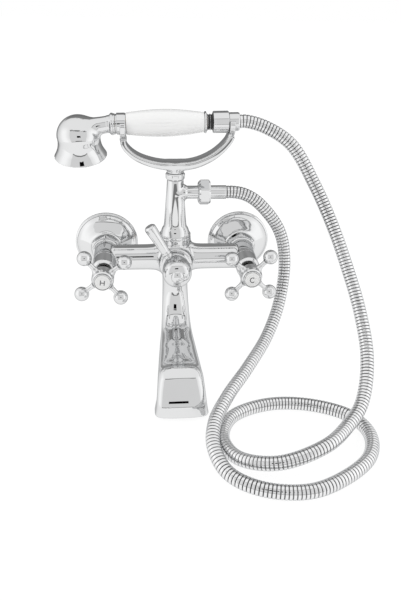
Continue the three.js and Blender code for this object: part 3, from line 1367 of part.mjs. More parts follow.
// The hose: one free route from the nipple down to the floor, a turn and a half there, and up again.
const hoseRoute = [
  [71.7, -44.3, 69.7],
  [87.1, -45.8, 60.8],
  [110.6, -51.7, 31.8],
  [117.4, -60, 1.4],
  [111.5, -78.8, -37.9],
  [94.5, -108.3, -63.6],
  [67.8, -148.4, -77],
  [43.8, -182.6, -85.2],
  [27.8, -213.1, -92.2],
  [24.5, -238.5, -98.7],
  [34.1, -264.7, -104.7],
  [58.1, -283.6, -105.3],
  [94.3, -290.2, -105.4],
  [122.6, -282.3, -105.4],
  [162.4, -253.5, -105.3],
  [173.2, -222.2, -105.3],
  [162.9, -195.4, -105.3],
  [127.2, -175.4, -105.4],
  [85.1, -172.4, -105.4],
  [47.6, -189.8, -105.3],
  [35, -219.4, -105.3],
  [44.9, -248.6, -103],
  [76.5, -265.8, -95.4],
  [120.6, -254.1, -89.4],
  [147.9, -229.7, -88.1],
  [167.5, -206.6, -79.6],
  [180.1, -171.5, -54],
  [179.1, -137.4, -21.5],
  [171.5, -110.9, 9.4],
  [157.8, -85, 48.2],
  [139.5, -65.3, 86.1],
  [115.2, -51.4, 123.1],
  [89.1, -45.7, 138.8],
];

function hoseCurve() {
  const start = new THREE.Vector3(FERRULE_END + CLEARANCE, -AXIS_OUT, NIPPLE_UP);
  const tilt = HANDSET_TILT * DEGREE;
  const along = new THREE.Vector3(Math.cos(tilt), 0, Math.sin(tilt));
  const end = new THREE.Vector3(0, -AXIS_OUT, handsetAxisUp);
  end.addScaledVector(along, END_SLEEVE_END_X + CLEARANCE);
  const run = HOSE_D / 2;
  const points = [
    start,
    start.clone().add(new THREE.Vector3(run, 0, 0)),
    ...hoseRoute.map((point) => new THREE.Vector3(...point)),
    end.clone().addScaledVector(along, run),
    end,
  ];
  const curve = new THREE.CatmullRomCurve3(points, false, "centripetal");
  curve.arcLengthDivisions = HOSE_ARC_DIVISIONS;
  return { curve, startWay: new THREE.Vector3(1, 0, 0), endWay: along.clone().negate() };
}

// Rings of points round the curve, each turned as little as it can be from the one before.
function hoseRings(curve, startWay, endWay, places, radii) {
  const rings = [];
  let side = new THREE.Vector3(0, 1, 0);
  places.forEach((place, i) => {
    const way = place === 0 ? startWay : place === 1 ? endWay : curve.getTangentAt(place);
    side = side.clone().addScaledVector(way, -side.dot(way)).normalize();
    const other = way.clone().cross(side);
    const centre = curve.getPointAt(place);
    rings.push(
      Array.from({ length: HOSE_SIDES }, (_, k) => {
        const turn = (k / HOSE_SIDES) * 2 * Math.PI;
        return centre
          .clone()
          .addScaledVector(side, radii[i] * Math.cos(turn))
          .addScaledVector(other, radii[i] * Math.sin(turn));
      }),
    );
  });
  return rings;
}

function showerHose() {
  const { curve, startWay, endWay } = hoseCurve();
  const length = curve.getLength();
  const steps = HOSE_RIBS * 2;
  const outerPlaces = Array.from({ length: steps + 1 }, (_, i) => i / steps);
  const crest = HOSE_D / 2;
  const groove = crest - HOSE_GROOVE_DEPTH;
  const outerRadii = outerPlaces.map((_, i) => (i % 2 ? crest : groove));
  const boreSteps = HOSE_RIBS / HOSE_RIBS_PER_BORE_RING;
  const borePlaces = Array.from({ length: boreSteps + 1 }, (_, i) => i / boreSteps);
  const boreRadii = borePlaces.map(() => HOSE_BORE_D / 2);
  const outer = hoseRings(curve, startWay, endWay, outerPlaces, outerRadii);
  const bore = hoseRings(curve, startWay, endWay, borePlaces, boreRadii).reverse();
  const rings = [...outer, ...bore];
  const count = HOSE_SIDES;
  const faces = [];
  rings.forEach((_, i) => {
    const next = (i + 1) % rings.length;
    for (let k = 0; k < count; k += 1) {
      const turn = (k + 1) % count;
      const [a, b, c, d] = [i * count + k, i * count + turn, next * count + k, next * count + turn];
      faces.push(a, b, d, a, d, c);
    }
  });
  const geometry = new THREE.BufferGeometry().setFromPoints(rings.flat());
  geometry.setIndex(faces);
  reportHose(curve, length);
  return piece("shower_hose", geometry, chrome());
}

// Prints the hose's length, its tightest bend, its least gap to itself and its lowest point.
function reportHose(curve, length) {
  const count = Math.round(length / REPORT_STEP);
  const points = curve.getSpacedPoints(count);
  const step = length / count;
  let tightest = Infinity;
  for (let i = 2; i < count - 1; i += 1) {
    const turn = curve.getTangentAt((i - 1) / count).angleTo(curve.getTangentAt((i + 1) / count));
    if (turn > 0) tightest = Math.min(tightest, (2 * step) / turn);
  }
  let gap = Infinity;
  const apart = Math.ceil((HOSE_D / step) * REPORT_APART);
  for (let i = 0; i <= count; i += 1) {
    for (let k = i + apart; k <= count; k += 1) {
      gap = Math.min(gap, points[i].distanceTo(points[k]) - HOSE_D);
    }
  }
  const lowest = Math.min(...points.map((point) => point.z)) - HOSE_D / 2;
  console.log(
    `hose: ${length.toFixed(1)} mm long, tightest bend ${tightest.toFixed(1)} mm, ` +
      `least gap to itself ${gap.toFixed(2)} mm, lowest ${lowest.toFixed(2)} mm on a floor at ${FLOOR_UP}`,
  );
}

const mixer = new THREE.Group();
mixer.add(mixerBody(), aerator(), diverter());
mixer.add(valve("left", -1, HANDLE_TURN_LEFT), valve("right", 1, HANDLE_TURN_RIGHT));
mixer.add(riserColumn(), columnSeal(), cradleCollar(), cradle());
mixer.add(handset(), mixerHoseFittings(), showerHose());

export default mixer;
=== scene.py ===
"""Bath mixer with a handset and hose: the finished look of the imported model, in its own frame, in metres.

Shapes are worked out in millimetres and scaled once, when their mesh is made.
Out is the distance from the wall, which is -Y. Up is Z, from the height of the inlets.
"""
import json
import math

import bpy
import numpy as np
from mathutils import Matrix, Vector


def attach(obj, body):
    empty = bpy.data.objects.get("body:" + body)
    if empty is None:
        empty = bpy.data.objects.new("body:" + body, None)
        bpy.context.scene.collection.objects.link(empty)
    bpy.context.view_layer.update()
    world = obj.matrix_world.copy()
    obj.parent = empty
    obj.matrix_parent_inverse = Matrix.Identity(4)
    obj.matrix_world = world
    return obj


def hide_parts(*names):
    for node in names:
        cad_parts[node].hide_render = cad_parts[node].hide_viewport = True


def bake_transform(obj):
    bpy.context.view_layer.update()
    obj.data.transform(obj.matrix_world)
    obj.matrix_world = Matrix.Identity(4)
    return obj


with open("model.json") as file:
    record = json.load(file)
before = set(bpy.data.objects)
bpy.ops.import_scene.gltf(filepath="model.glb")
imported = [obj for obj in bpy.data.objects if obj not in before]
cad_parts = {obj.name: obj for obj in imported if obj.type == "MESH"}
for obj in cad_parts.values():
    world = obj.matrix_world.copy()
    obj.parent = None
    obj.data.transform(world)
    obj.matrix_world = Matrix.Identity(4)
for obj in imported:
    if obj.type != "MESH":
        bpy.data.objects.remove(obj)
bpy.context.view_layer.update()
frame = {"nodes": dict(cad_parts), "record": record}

MM = 0.001
AXIS_OUT = 44
VALVE_X = 75
NIPPLE_UP = 72
HANDSET_UP = 142.4
HANDSET_TILT = 1.3
HANDSET_ROLL = 13
FLOOR_UP = -112


# Frames: columns are the two directions across a piece, the one along it, and its origin
def turn(axis, degrees):
    """Turn about X, Y or Z, as a 4 by 4 matrix."""
    return np.array(Matrix.Rotation(math.radians(degrees), 4, axis))


def shift(x, y, z):
    """Move, as a 4 by 4 matrix."""
    return np.array(Matrix.Translation((x, y, z)))


def across(a, b, along):
    """Frame whose first two directions lie across a piece, and whose third runs along it."""
    made = np.eye(4)
    made[:3, :3] = np.transpose([a, b, along])
    return made


UP = np.eye(4)
OUT = across((1, 0, 0), (0, 0, 1), (0, -1, 0))
RIGHT = across((0, 1, 0), (0, 0, 1), (1, 0, 0))
COLUMN = shift(0, -AXIS_OUT, 0)
HANDSET = shift(0, -AXIS_OUT, HANDSET_UP) @ turn("Y", -HANDSET_TILT) @ turn("X", HANDSET_ROLL)


def moved(points, place):
    """Points of a local frame in the common one: matrix times point, plus the frame's origin."""
    return points @ place[:3, :3].T + place[:3, 3]


# Camera
SENSOR = 36
FOCAL_PIXELS = 611.8
PICTURE_PIXELS = 601
CAMERA_PLACE = (-0.033, -0.6529, 0.2702)
CAMERA_TURNS = (5.82, 27.99, 1.47)


def set_camera():
    """Camera of the photograph: where it stands, its three turns, and its lens, from its share of the long side."""
    data = bpy.data.cameras.new("camera")
    data.sensor_width = SENSOR
    data.lens = FOCAL_PIXELS / PICTURE_PIXELS * SENSOR
    made = add_object("camera", data)
    yaw, down, roll = (math.radians(a) for a in CAMERA_TURNS)
    made.matrix_world = (
        Matrix.Translation(CAMERA_PLACE)
        @ Matrix.Rotation(-yaw, 4, "Z")
        @ Matrix.Rotation(math.pi / 2 - down, 4, "X")
        @ Matrix.Rotation(roll, 4, "Z")
    )
    bpy.context.scene.camera = made
    return made


# Curves and outlines
def through(points, per=8):
    """Centripetal Catmull-Rom curve through points: each span is a cubic whose end slopes come from the
    points around it, with the spans' parameters the square roots of their lengths."""
    p = np.asarray(points, float)
    p = np.vstack([2 * p[0] - p[1], p, 2 * p[-1] - p[-2]])
    step = np.sqrt(np.linalg.norm(np.diff(p, axis=0), axis=1))[:, None]
    a, b, c, d = p[:-3], p[1:-2], p[2:-1], p[3:]
    s0, s1, s2 = step[:-2], step[1:-1], step[2:]
    m1 = ((b - a) / s0 - (c - a) / (s0 + s1) + (c - b) / s1) * s1
    m2 = ((c - b) / s1 - (d - b) / (s1 + s2) + (d - c) / s2) * s1
    t = (np.arange(per) / per)[None, :, None]
    b, c, m1, m2 = (v[:, None, :] for v in (b, c, m1, m2))
    made = (2 * t**3 - 3 * t**2 + 1) * b + (t**3 - 2 * t**2 + t) * m1
    made = made + (3 * t**2 - 2 * t**3) * c + (t**3 - t**2) * m2
    return np.vstack([made.reshape(-1, p.shape[1]), p[-2]])


def lengths(points):
    """Distance along a line of points, from its start."""
    return np.concatenate([[0], np.cumsum(np.linalg.norm(np.diff(points, axis=0), axis=1))])


def read(table, at, places):
    """The columns of a table whose rows lie at some places, read at others."""
    return [np.interp(at, places, column) for column in table.T]


def evenly(points, count):
    """The same line read at even steps of its length."""
    along = lengths(points)
    return np.column_stack(read(points, np.linspace(0, along[-1], count), along))


def unit(ways):
    """The same ways, each of length 1."""
    return ways / np.linalg.norm(ways, axis=-1, keepdims=True)


def directions(line):
    """Direction of a line at each of its points."""
    return unit(np.gradient(line, axis=0))


def circle(count):
    """Angles at even steps once round."""
    return np.arange(count) * 2 * math.pi / count


def rings(radius, angle, height):
    """Points (r cos t, r sin t, h)."""
    return np.stack(np.broadcast_arrays(radius * np.cos(angle), radius * np.sin(angle), height), -1)


def rounded(corners, step=12):
    """Outline through corners (radius, along, round), each round a circular arc that touches both its sides."""
    corners = [tuple(c) + (0,) * (3 - len(c)) for c in corners]
    made = []
    for i, (radius, along, size) in enumerate(corners):
        here = np.array([radius, along], float)
        if not size:
            made.append(here)
            continue
        sides = [np.array(corners[k % len(corners)][:2], float) - here for k in (i - 1, i + 1)]
        spans = [np.linalg.norm(s) for s in sides]
        before, after = (s / n for s, n in zip(sides, spans))
        half = math.acos(np.clip(before @ after, -1, 1)) / 2
        reach = min(size / math.tan(half), 0.48 * min(spans))
        middle = before + after
        centre = here + middle / np.linalg.norm(middle) * reach / math.cos(half)
        arm = here + before * reach - centre
        end = here + after * reach - centre
        sweep = math.atan2(arm[0] * end[1] - arm[1] * end[0], arm @ end)
        angles = np.linspace(0, sweep, max(3, math.ceil(abs(math.degrees(sweep)) / step) + 1))
        c, s = np.cos(angles), np.sin(angles)
        made.extend(centre + np.column_stack([arm[0] * c - arm[1] * s, arm[0] * s + arm[1] * c]))
    return np.array(made)


# Meshes
SHARP_ANGLE = 40
HEX_SOFT = 0.35
HEX_REACH = 1.5


def add_object(name, data):
    """Object at the origin, linked to the scene."""
    made = bpy.data.objects.new(name, data)
    bpy.context.scene.collection.objects.link(made)
    return made


def add_values(mesh, name, values):
    """A value at each point of a mesh, for its material."""
    made = mesh.attributes.new(name, "FLOAT", "POINT")
    made.data.foreach_set("value", values.ravel().astype(np.float32))


def piece(name, points, faces, body, stands_for, slot="chrome", finish=None, normals=None):
    """Object at the origin with the given faces, turned round as a whole if they enclose less than nothing.
    It has its slot's finish, unless it has one of its own."""
    corners = [f[:, :3] for f in faces] + [f[:, [0, 2, 3]] for f in faces if f.shape[1] == 4]
    a, b, c = (points[np.concatenate(corners)[:, k]] for k in range(3))
    if np.einsum("ij,ij->", a, np.cross(b, c)) < 0:
        faces = [f[:, ::-1] for f in faces]
    mesh = bpy.data.meshes.new(name)
    mesh.from_pydata((points * MM).tolist(), [], [row for f in faces for row in f.tolist()])
    mesh.shade_smooth()
    mesh.materials.append(finish or FINISH_OF[slot])
    made = add_object(name, mesh)
    if normals is None:
        mesh.set_sharp_from_angle(angle=math.radians(SHARP_ANGLE))
        even = made.modifiers.new("even_shading", "WEIGHTED_NORMAL")
        even.keep_sharp = True
    else:
        mesh.normals_split_custom_set_from_vertices(normals.tolist())
    if body:
        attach(made, body)
    if stands_for:
        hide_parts(*stands_for)
    return made


def skin(rows, *tips):
    """Faces of a closed skin through rows of points that run round it. It ends in a tip before its first row
    and one after its last, or without tips its rows close on themselves as a ring."""
    count, around = rows.shape[:2]
    index = np.arange(count * around).reshape(count, around)
    low, high = (index[:-1], index[1:]) if tips else (index, np.roll(index, -1, 0))
    quads = np.stack([low, np.roll(low, -1, 1), np.roll(high, -1, 1), high], -1).reshape(-1, 4)
    points = rows.reshape(-1, 3)
    if not tips:
        return points, [quads]
    first, last = (np.full(around, count * around + k) for k in (0, 1))
    fans = np.vstack([
        np.stack([first, np.roll(index[0], -1), index[0]], -1),
        np.stack([last, index[-1], np.roll(index[-1], -1)], -1),
    ])
    return np.vstack([points, *tips]), [quads, fans]


def on_axis(name, rows, tips, place, body, stands_for, slot="chrome", finish=None):
    """Piece through rows of points in a local frame. Its tips lie on the frame's axis, at the given heights."""
    ends = [moved(np.array([0, 0, tip]), place) for tip in tips]
    points, faces = skin(moved(rows, place), *ends)
    piece(name, points, faces, body, [stands_for], slot, finish)


def turned(name, outline, place, body, stands_for, sides=96, flats=0, slot="chrome", finish=None):
    """Turned piece: (r cos t, r sin t, h) for an outline of radius r at height h, and t once round.
    With flats, r is also held under that hexagon, flats / cos(t to the nearest flat), its corners softened."""
    outline = np.asarray(outline, float)
    tips = ()
    if outline[0, 0] == 0:
        tips = (outline[0, 1], outline[-1, 1])
        outline = outline[1:-1]
    t = circle(sides)
    radius = np.repeat(outline[:, :1], sides, 1)
    if flats:
        nearest = (t + math.pi / 6) % (math.pi / 3) - math.pi / 6
        wall = flats / 2 / np.cos(nearest)
        h = np.clip(0.5 + 0.5 * (wall - radius) / HEX_SOFT, 0, 1)
        outer = radius > flats / 2 - HEX_REACH
        radius = np.where(outer, wall + (radius - wall) * h - HEX_SOFT * h * (1 - h), radius)
    on_axis(name, rings(radius, t, outline[:, 1:]), tips, place, body, stands_for, slot, finish)


# Castings: fields of distance outside a shape, in millimetres
COARSE = 4
BAND = 2.2
LEAST_STEEP = 0.2


def to_outline(radius, along, outline):
    """Distance to an outline, less than nought on its inner side. It is the least distance to its straight
    steps, and a point is inside if a line from it away from the axis crosses the outline an odd number of times."""
    ends = np.asarray(outline, float)
    nearest = np.full(radius.shape, np.inf)
    inside = np.zeros(radius.shape, bool)
    for (ra, ha), (rb, hb) in zip(ends[:-1], ends[1:]):
        dr, dh = rb - ra, hb - ha
        span = dr * dr + dh * dh
        if span < 1e-12:
            continue
        share = np.clip(((radius - ra) * dr + (along - ha) * dh) / span, 0, 1)
        nearest = np.minimum(nearest, (radius - ra - share * dr) ** 2 + (along - ha - share * dh) ** 2)
        if dh:
            inside ^= ((ha > along) != (hb > along)) & (radius < ra + (along - ha) / dh * dr)
    return np.where(inside, -1, 1) * np.sqrt(nearest)


def blend(a, b, size):
    """Join of two fields with a fillet: the smaller of them, less size * h * (1 - h) where they are close."""
    h = np.clip(0.5 + 0.5 * (b - a) / size, 0, 1)
    return b + (a - b) * h - size * h * (1 - h)


def shared(a, b, size):
    """What two fields share, with the edge rounded in the same way."""
    return -blend(-a, -b, size)


def cut(whole, tool, size=0.2):
    """One field less another."""
    return shared(whole, -tool, size)


def hole(off, along, radius, floor):
    """Round hole: within its radius off the axis, from its floor on along it."""
    return np.maximum(off - radius, floor - along)


def slope_of(field, points, reach=0.04):
    """How the field grows along X, Y and Z, from its values a little to each side."""
    steps = np.eye(3) * reach
    return np.column_stack([(field(points + s) - field(points - s)) / (2 * reach) for s in steps])


def in_parts(field, points, size=200000):
    """A field read a part at a time, which keeps its working arrays small."""
    return np.concatenate([field(points[i:i + size]) for i in range(0, len(points), size)])


def lattice_values(field, low, high, step):
    """The field on a lattice: in full near its skin, and elsewhere as at the nearest point of a coarser one."""
    count = np.ceil((np.asarray(high) - low) / step).astype(int) + 1
    coarse = [low[k] + step * COARSE * np.arange(count[k] // COARSE + 2) for k in range(3)]
    wide = np.stack(np.meshgrid(*coarse, indexing="ij"), -1)
    far = in_parts(field, wide.reshape(-1, 3)).reshape(wide.shape[:3])
    near = [np.minimum((np.arange(n) + COARSE // 2) // COARSE, len(c) - 1) for n, c in zip(count, coarse)]
    value = far[np.ix_(*near)]
    close = np.argwhere(np.abs(value) < BAND * COARSE * step)
    value[tuple(close.T)] = in_parts(field, low + step * close)
    return np.where(value == 0, 1e-9, value)


def casting(field, low, high, step, copies):
    """Skin where a field is nought. Each cell of a lattice that the skin crosses gets a point at the mean of
    the crossings on its edges, and the four cells round a crossed edge get a face. The points then move along
    the field's slope on to the skin, and that slope gives their normals.
    Each copy is a name, the node it stands for, its frame and its body."""
    low = np.asarray(low, float)
    value = lattice_values(field, low, high, step)
    size = np.array(value.shape) - 1
    cells, places, quads = [], [], []
    for axis in range(3):
        other = [k for k in range(3) if k != axis]
        ahead, behind = [slice(None)] * 3, [slice(None)] * 3
        ahead[axis], behind[axis] = slice(1, None), slice(None, -1)
        a, b = value[tuple(behind)], value[tuple(ahead)]
        at = np.argwhere((a < 0) != (b < 0))
        a, b = a[tuple(at.T)], b[tuple(at.T)]
        point = at.astype(float)
        point[:, axis] += a / (a - b)
        round_it = []
        for u, v in ((0, 0), (1, 0), (1, 1), (0, 1)):
            cell = at.copy()
            cell[:, other[0]] -= u
            cell[:, other[1]] -= v
            round_it.append((cell[:, 0] * size[1] + cell[:, 1]) * size[2] + cell[:, 2])
        cells.extend(round_it)
        places.extend([point] * 4)
        face = np.column_stack(round_it)
        turn_back = (a < 0) == (axis == 1)
        face[turn_back] = face[turn_back][:, ::-1]
        quads.append(face)
    used, which = np.unique(np.concatenate(cells), return_inverse=True)
    places = np.vstack(places)
    share = np.bincount(which)[:, None]
    points = low + step * np.column_stack([np.bincount(which, places[:, k]) for k in range(3)]) / share
    faces = np.searchsorted(used, np.vstack(quads))
    for _ in range(3):
        slope = slope_of(field, points)
        steep = np.maximum(np.einsum("ij,ij->i", slope, slope), LEAST_STEEP)
        points = points - slope * np.clip(field(points) / steep, -step, step)[:, None]
    slope = slope_of(field, points)
    normals = slope / np.maximum(np.linalg.norm(slope, axis=1), 1e-6)[:, None]
    for label, node, place, body in copies:
        piece(label, moved(points, place), [faces], body, [node], normals=normals @ place[:3, :3].T)


# Shader nodes
def arithmetic(operation, back=False):
    """Method that adds a Math node, with its own value last where it stands to the right of the sign."""
    def method(self, *others):
        values = (*others, self) if back else (self, *others)
        return self.kit.node("Math", {"operation": operation}, dict(enumerate(values)))
    return method


class Socket:
    """An output of a shader node. Arithmetic on values adds Math nodes."""

    def __init__(self, kit, socket):
        self.kit, self.socket = kit, socket

    __add__ = __radd__ = arithmetic("ADD")
    __sub__ = arithmetic("SUBTRACT")
    __rsub__ = arithmetic("SUBTRACT", True)
    __mul__ = arithmetic("MULTIPLY")
    __pow__ = arithmetic("POWER")
    __gt__ = arithmetic("GREATER_THAN")
    size = arithmetic("ABSOLUTE")


class Kit:
    """The node tree of a material or of the world."""

    def __init__(self, name, owner=None):
        self.owner = owner or bpy.data.materials.new(name)
        self.owner.use_nodes = True
        self.tree = self.owner.node_tree
        self.tree.nodes.clear()

    def node(self, kind, settings=None, values=None, output=0):
        """A node with its settings, then the values, colours or links of its sockets."""
        made = self.tree.nodes.new("ShaderNode" + kind)
        for key, value in (settings or {}).items():
            if key == "stops":
                ramp = made.color_ramp
                while len(ramp.elements) < len(value):
                    ramp.elements.new(0.5)
                for element, (place, shade) in zip(ramp.elements, value):
                    element.position, element.color = place, (shade, shade, shade, 1)
            else:
                setattr(made, key, value)
        for key, value in (values or {}).items():
            if isinstance(value, Socket):
                self.tree.links.new(value.socket, made.inputs[key])
            else:
                made.inputs[key].default_value = (*value, 1) if isinstance(value, tuple) else value
        return Socket(self, made.outputs[output]) if made.outputs else None

    def place(self):
        return self.node("TexCoord", output="Object")

    def along(self, axis):
        return self.node("SeparateXYZ", None, {"Vector": self.place()}, output=axis)

    def attribute(self, name):
        return self.node("Attribute", {"attribute_name": name}, output="Fac")

    def noise(self, scale, detail=3, rough=0.5):
        values = {"Vector": self.place(), "Scale": scale, "Detail": detail, "Roughness": rough}
        return self.node("TexNoise", None, values)

    def ramp(self, factor, *stops):
        return self.node("ValToRGB", {"stops": stops}, {"Fac": factor})

    def mix(self, factor, a, b):
        """Colour a where factor is 0, and b where it is 1."""
        return self.node("Mix", {"data_type": "RGBA"}, {0: factor, 6: a, 7: b}, output=2)

    def bump(self, height, strength, distance):
        return self.node("Bump", None, {"Height": height, "Strength": strength, "Distance": distance})

    def shader(self, kind, shade, **values):
        return self.node(kind, None, {"Color": (shade,) * 3, **values})

    def close(self, shader, kind="OutputMaterial"):
        """The shader into the tree's output."""
        self.node(kind, None, {"Surface": shader})
        return self.owner

    def between(self, share, first, second):
        """The surface as a mix of two shaders: the first where share is 0, and the second where it is 1."""
        return self.close(self.node("MixShader", None, {0: share, 1: first, 2: second}))

    def finish(self, **sockets):
        """The surface, with each socket named in words joined by underscores."""
        values = {key.replace("_", " "): value for key, value in sockets.items()}
        return self.close(self.node("BsdfPrincipled", None, values))


def chrome_finish():
    """Polished plating: faint clouds in its grey and its gloss, and the soft waviness of hand buffing."""
    kit = Kit("polished_chrome")
    clouds = kit.noise(28, 2)
    smears = kit.noise(190, 4, 0.6)
    wave = kit.noise(55, 1)
    return kit.finish(
        Base_Color=kit.mix(clouds, (0.72, 0.724, 0.728), (0.77, 0.773, 0.776)),
        Metallic=1.0,
        Roughness=0.012 + smears**3 * 0.06,
        Specular_Tint=(0.5, 0.505, 0.51),
        Normal=kit.bump(wave, 0.03, 0.0004),
    )


def neck_finish():
    """Polished plating with two bands of painted shade in its grooves, black, dull and not metal: (place, half width)
    along X, in metres.
    """
    kit = Kit("grooved_neck")
    along = kit.along("X")
    # Painted shade: black, dull bands where the two grooves lie in shade
    narrow, wide = ((along - middle).size() > half for middle, half in ((0.0323, 0.0011), (0.0354, 0.0013)))
    clear = narrow * wide
    clouds = kit.noise(28, 2)
    bright = kit.mix(clouds, (0.7, 0.7, 0.71), (0.78, 0.78, 0.79))
    return kit.finish(
        Base_Color=kit.mix(clear, (0.02, 0.02, 0.02), bright),
        Metallic=clear,
        Roughness=0.3 - clear * 0.27,
        Normal=kit.bump(clouds, 0.05, 0.0004),
    )


def hose_finish():
    """Wound steel strip: its steel colour on the crests of its turns, and painted shade in the grooves between them,
    darker and duller, in patches that stand in for dark reflections.
    """
    kit = Kit("hose_steel")
    groove = kit.attribute("groove")
    clouds = kit.noise(60, 3)
    bright = kit.mix(clouds, (0.78, 0.785, 0.79), (0.88, 0.88, 0.885))
    # Painted shade in the grooves, patchy where it stands in for dark reflections of nearby parts
    painted_groove_shade = kit.ramp(kit.noise(14, 2), (0.38, 0.02), (0.62, 0.3))
    return kit.finish(
        Base_Color=kit.mix(groove, bright, painted_groove_shade),
        Metallic=1.0,
        Roughness=0.05 + groove * 0.25 + clouds * 0.04,
        Specular_Tint=(0.62, 0.63, 0.64),
        Normal=kit.bump(kit.noise(900, 2), 0.08, 0.0001),
    )


def glazed_finish(name, low, high):
    """White glaze or enamel: a whisper of cream in its white, and the faint ripple of its surface."""
    kit = Kit(name)
    clouds = kit.noise(35, 3)
    return kit.finish(
        Base_Color=kit.mix(clouds, low, high),
        Roughness=0.1 + kit.noise(240, 3) * 0.08,
        Coat_Weight=0.6,
        Coat_Roughness=0.04,
        Normal=kit.bump(kit.noise(120, 2), 0.04, 0.0003),
    )


def brass_finish():
    """Machined brass: fine turning lines across it, a warm patchy tarnish, and painted shade from 73.5 mm out, black
    and not metal, where the valve gap lies in shade.
    """
    kit = Kit("machined_brass")
    lines = {"Vector": kit.place(), "Scale": 900, "Distortion": 2}
    wave = kit.node("TexWave", {"bands_direction": "Y"}, lines)
    tarnish = kit.ramp(kit.noise(70, 5), (0.35, 0), (0.7, 1))
    # Painted shade: brass from 73.5 mm out is made black and not metal, as the shadowed gap behind the hub
    painted_gap_shade = (0 - kit.along("Y")) > 0.0735
    bright = kit.mix(tarnish, (0.72, 0.5, 0.2), (0.5, 0.33, 0.13))
    return kit.finish(
        Base_Color=kit.mix(painted_gap_shade, bright, (0.012, 0.011, 0.01)),
        Metallic=1.0 - painted_gap_shade,
        Roughness=0.24 + tarnish * 0.14,
        Normal=kit.bump(wave, 0.15, 0.0001),
    )


def plain_finish(name, low, high, metal, rough, scale, fine=0.6, spread=0.12, relief=0.1):
    """Ceramic, steel, nylon, rubber or print: two shades in a fine speckle, which also moves the gloss."""
    kit = Kit(name)
    speckle = kit.noise(scale, 4, fine)
    return kit.finish(
        Base_Color=kit.mix(speckle, low, high),
        Metallic=metal,
        Roughness=rough + speckle * spread,
        Normal=kit.bump(speckle, relief, 0.0001),
    )


FINISH_OF = {
    "chrome": chrome_finish(),
    "hose_chrome": hose_finish(),
    "white_gloss": glazed_finish("white_porcelain", (0.93, 0.93, 0.925), (0.97, 0.97, 0.965)),
    "brass": brass_finish(),
    "rubber": plain_finish(
        "seal_rubber", (0.012, 0.012, 0.013), (0.03, 0.03, 0.032), 0.0, 0.62, 1500,
        fine=0.5, spread=0.2, relief=0.3,
    ),
    "ceramic_disc": plain_finish("disc_ceramic", (0.78, 0.76, 0.72), (0.86, 0.84, 0.8), 0.0, 0.18, 1200),
    "steel": plain_finish("screw_steel", (0.45, 0.45, 0.46), (0.55, 0.55, 0.56), 1.0, 0.2, 1600),
    "nylon": plain_finish("insert_nylon", (0.55, 0.55, 0.56), (0.7, 0.7, 0.7), 0.0, 0.4, 900),
}
neck_chrome = neck_finish()
cap_white = glazed_finish("cap_enamel", (0.84, 0.84, 0.83), (0.88, 0.88, 0.875))
cap_mark = plain_finish("mark_print", (0.08, 0.08, 0.085), (0.12, 0.12, 0.125), 0.0, 0.4, 800)
for entry in frame["record"]["subparts"]:
    cad = frame["nodes"][entry["node"]]
    cad.data.materials.clear()
    cad.data.materials.append(FINISH_OF[entry["material_slot"]])


# Hose
HOSE_D = 13
HOSE_BORE = 3.2
HOSE_PITCH = 3.3
HOSE_GROOVE = 0.6
HOSE_SIDES = 24
HOSE_START = 53.1
HOSE_END = 63.1
HOSE_WAYS = 500
HOSE_TURN = np.array([[0, 1], [0.1, 1], [0.19, 0.12], [0.3, 0], [0.62, 0], [0.9, 0.12]])
HOSE_ROUTE = [
    [71.7, -44.3, 69.7], [87.1, -45.8, 60.8], [110.6, -51.7, 31.8], [117.4, -60, 1.4],
    [111.5, -78.8, -37.9], [94.5, -108.3, -63.6], [67.8, -148.4, -77], [43.8, -182.6, -85.2],
    [27.8, -213.1, -92.2], [24.5, -238.5, -98.7], [34.1, -264.7, -104.7], [58.1, -283.6, -105.3],
    [94.3, -290.2, -105.4], [122.6, -282.3, -105.4], [162.4, -253.5, -105.3], [173.2, -222.2, -105.3],
    [162.9, -195.4, -105.3], [127.2, -175.4, -105.4], [85.1, -172.4, -105.4], [47.6, -189.8, -105.3],
    [35, -219.4, -105.3], [44.9, -248.6, -103], [76.5, -265.8, -95.4], [120.6, -254.1, -89.4],
    [147.9, -229.7, -88.1], [167.5, -206.6, -79.6], [180.1, -171.5, -54], [179.1, -137.4, -21.5],
    [171.5, -110.9, 9.4], [157.8, -85, 48.2], [139.5, -65.3, 86.1], [115.2, -51.4, 123.1],
    [89.1, -45.7, 138.8],
]


def hose_line():
    """Middle of the hose: straight for half a diameter at each end, and through the route between."""
    tilt = math.radians(HANDSET_TILT)
    way = np.array([math.cos(tilt), 0, math.sin(tilt)])
    start = np.array([HOSE_START, -AXIS_OUT, NIPPLE_UP])
    end = np.array([0, -AXIS_OUT, HANDSET_UP]) + way * HOSE_END
    stub = np.array([HOSE_D / 2, 0, 0])
    return through([start, start + stub, *HOSE_ROUTE, end + way * HOSE_D / 2, end], 60)


def carried_side(way):
    """A direction across the line at each of its points, each the one before with its part along the line
    taken away, so that the skin round the line doesn't twist."""
    side = np.zeros_like(way)
    last = np.array([0, 1, 0])
    for i, along in enumerate(way):
        last = unit(last - along * (last @ along))
        side[i] = last
    return side


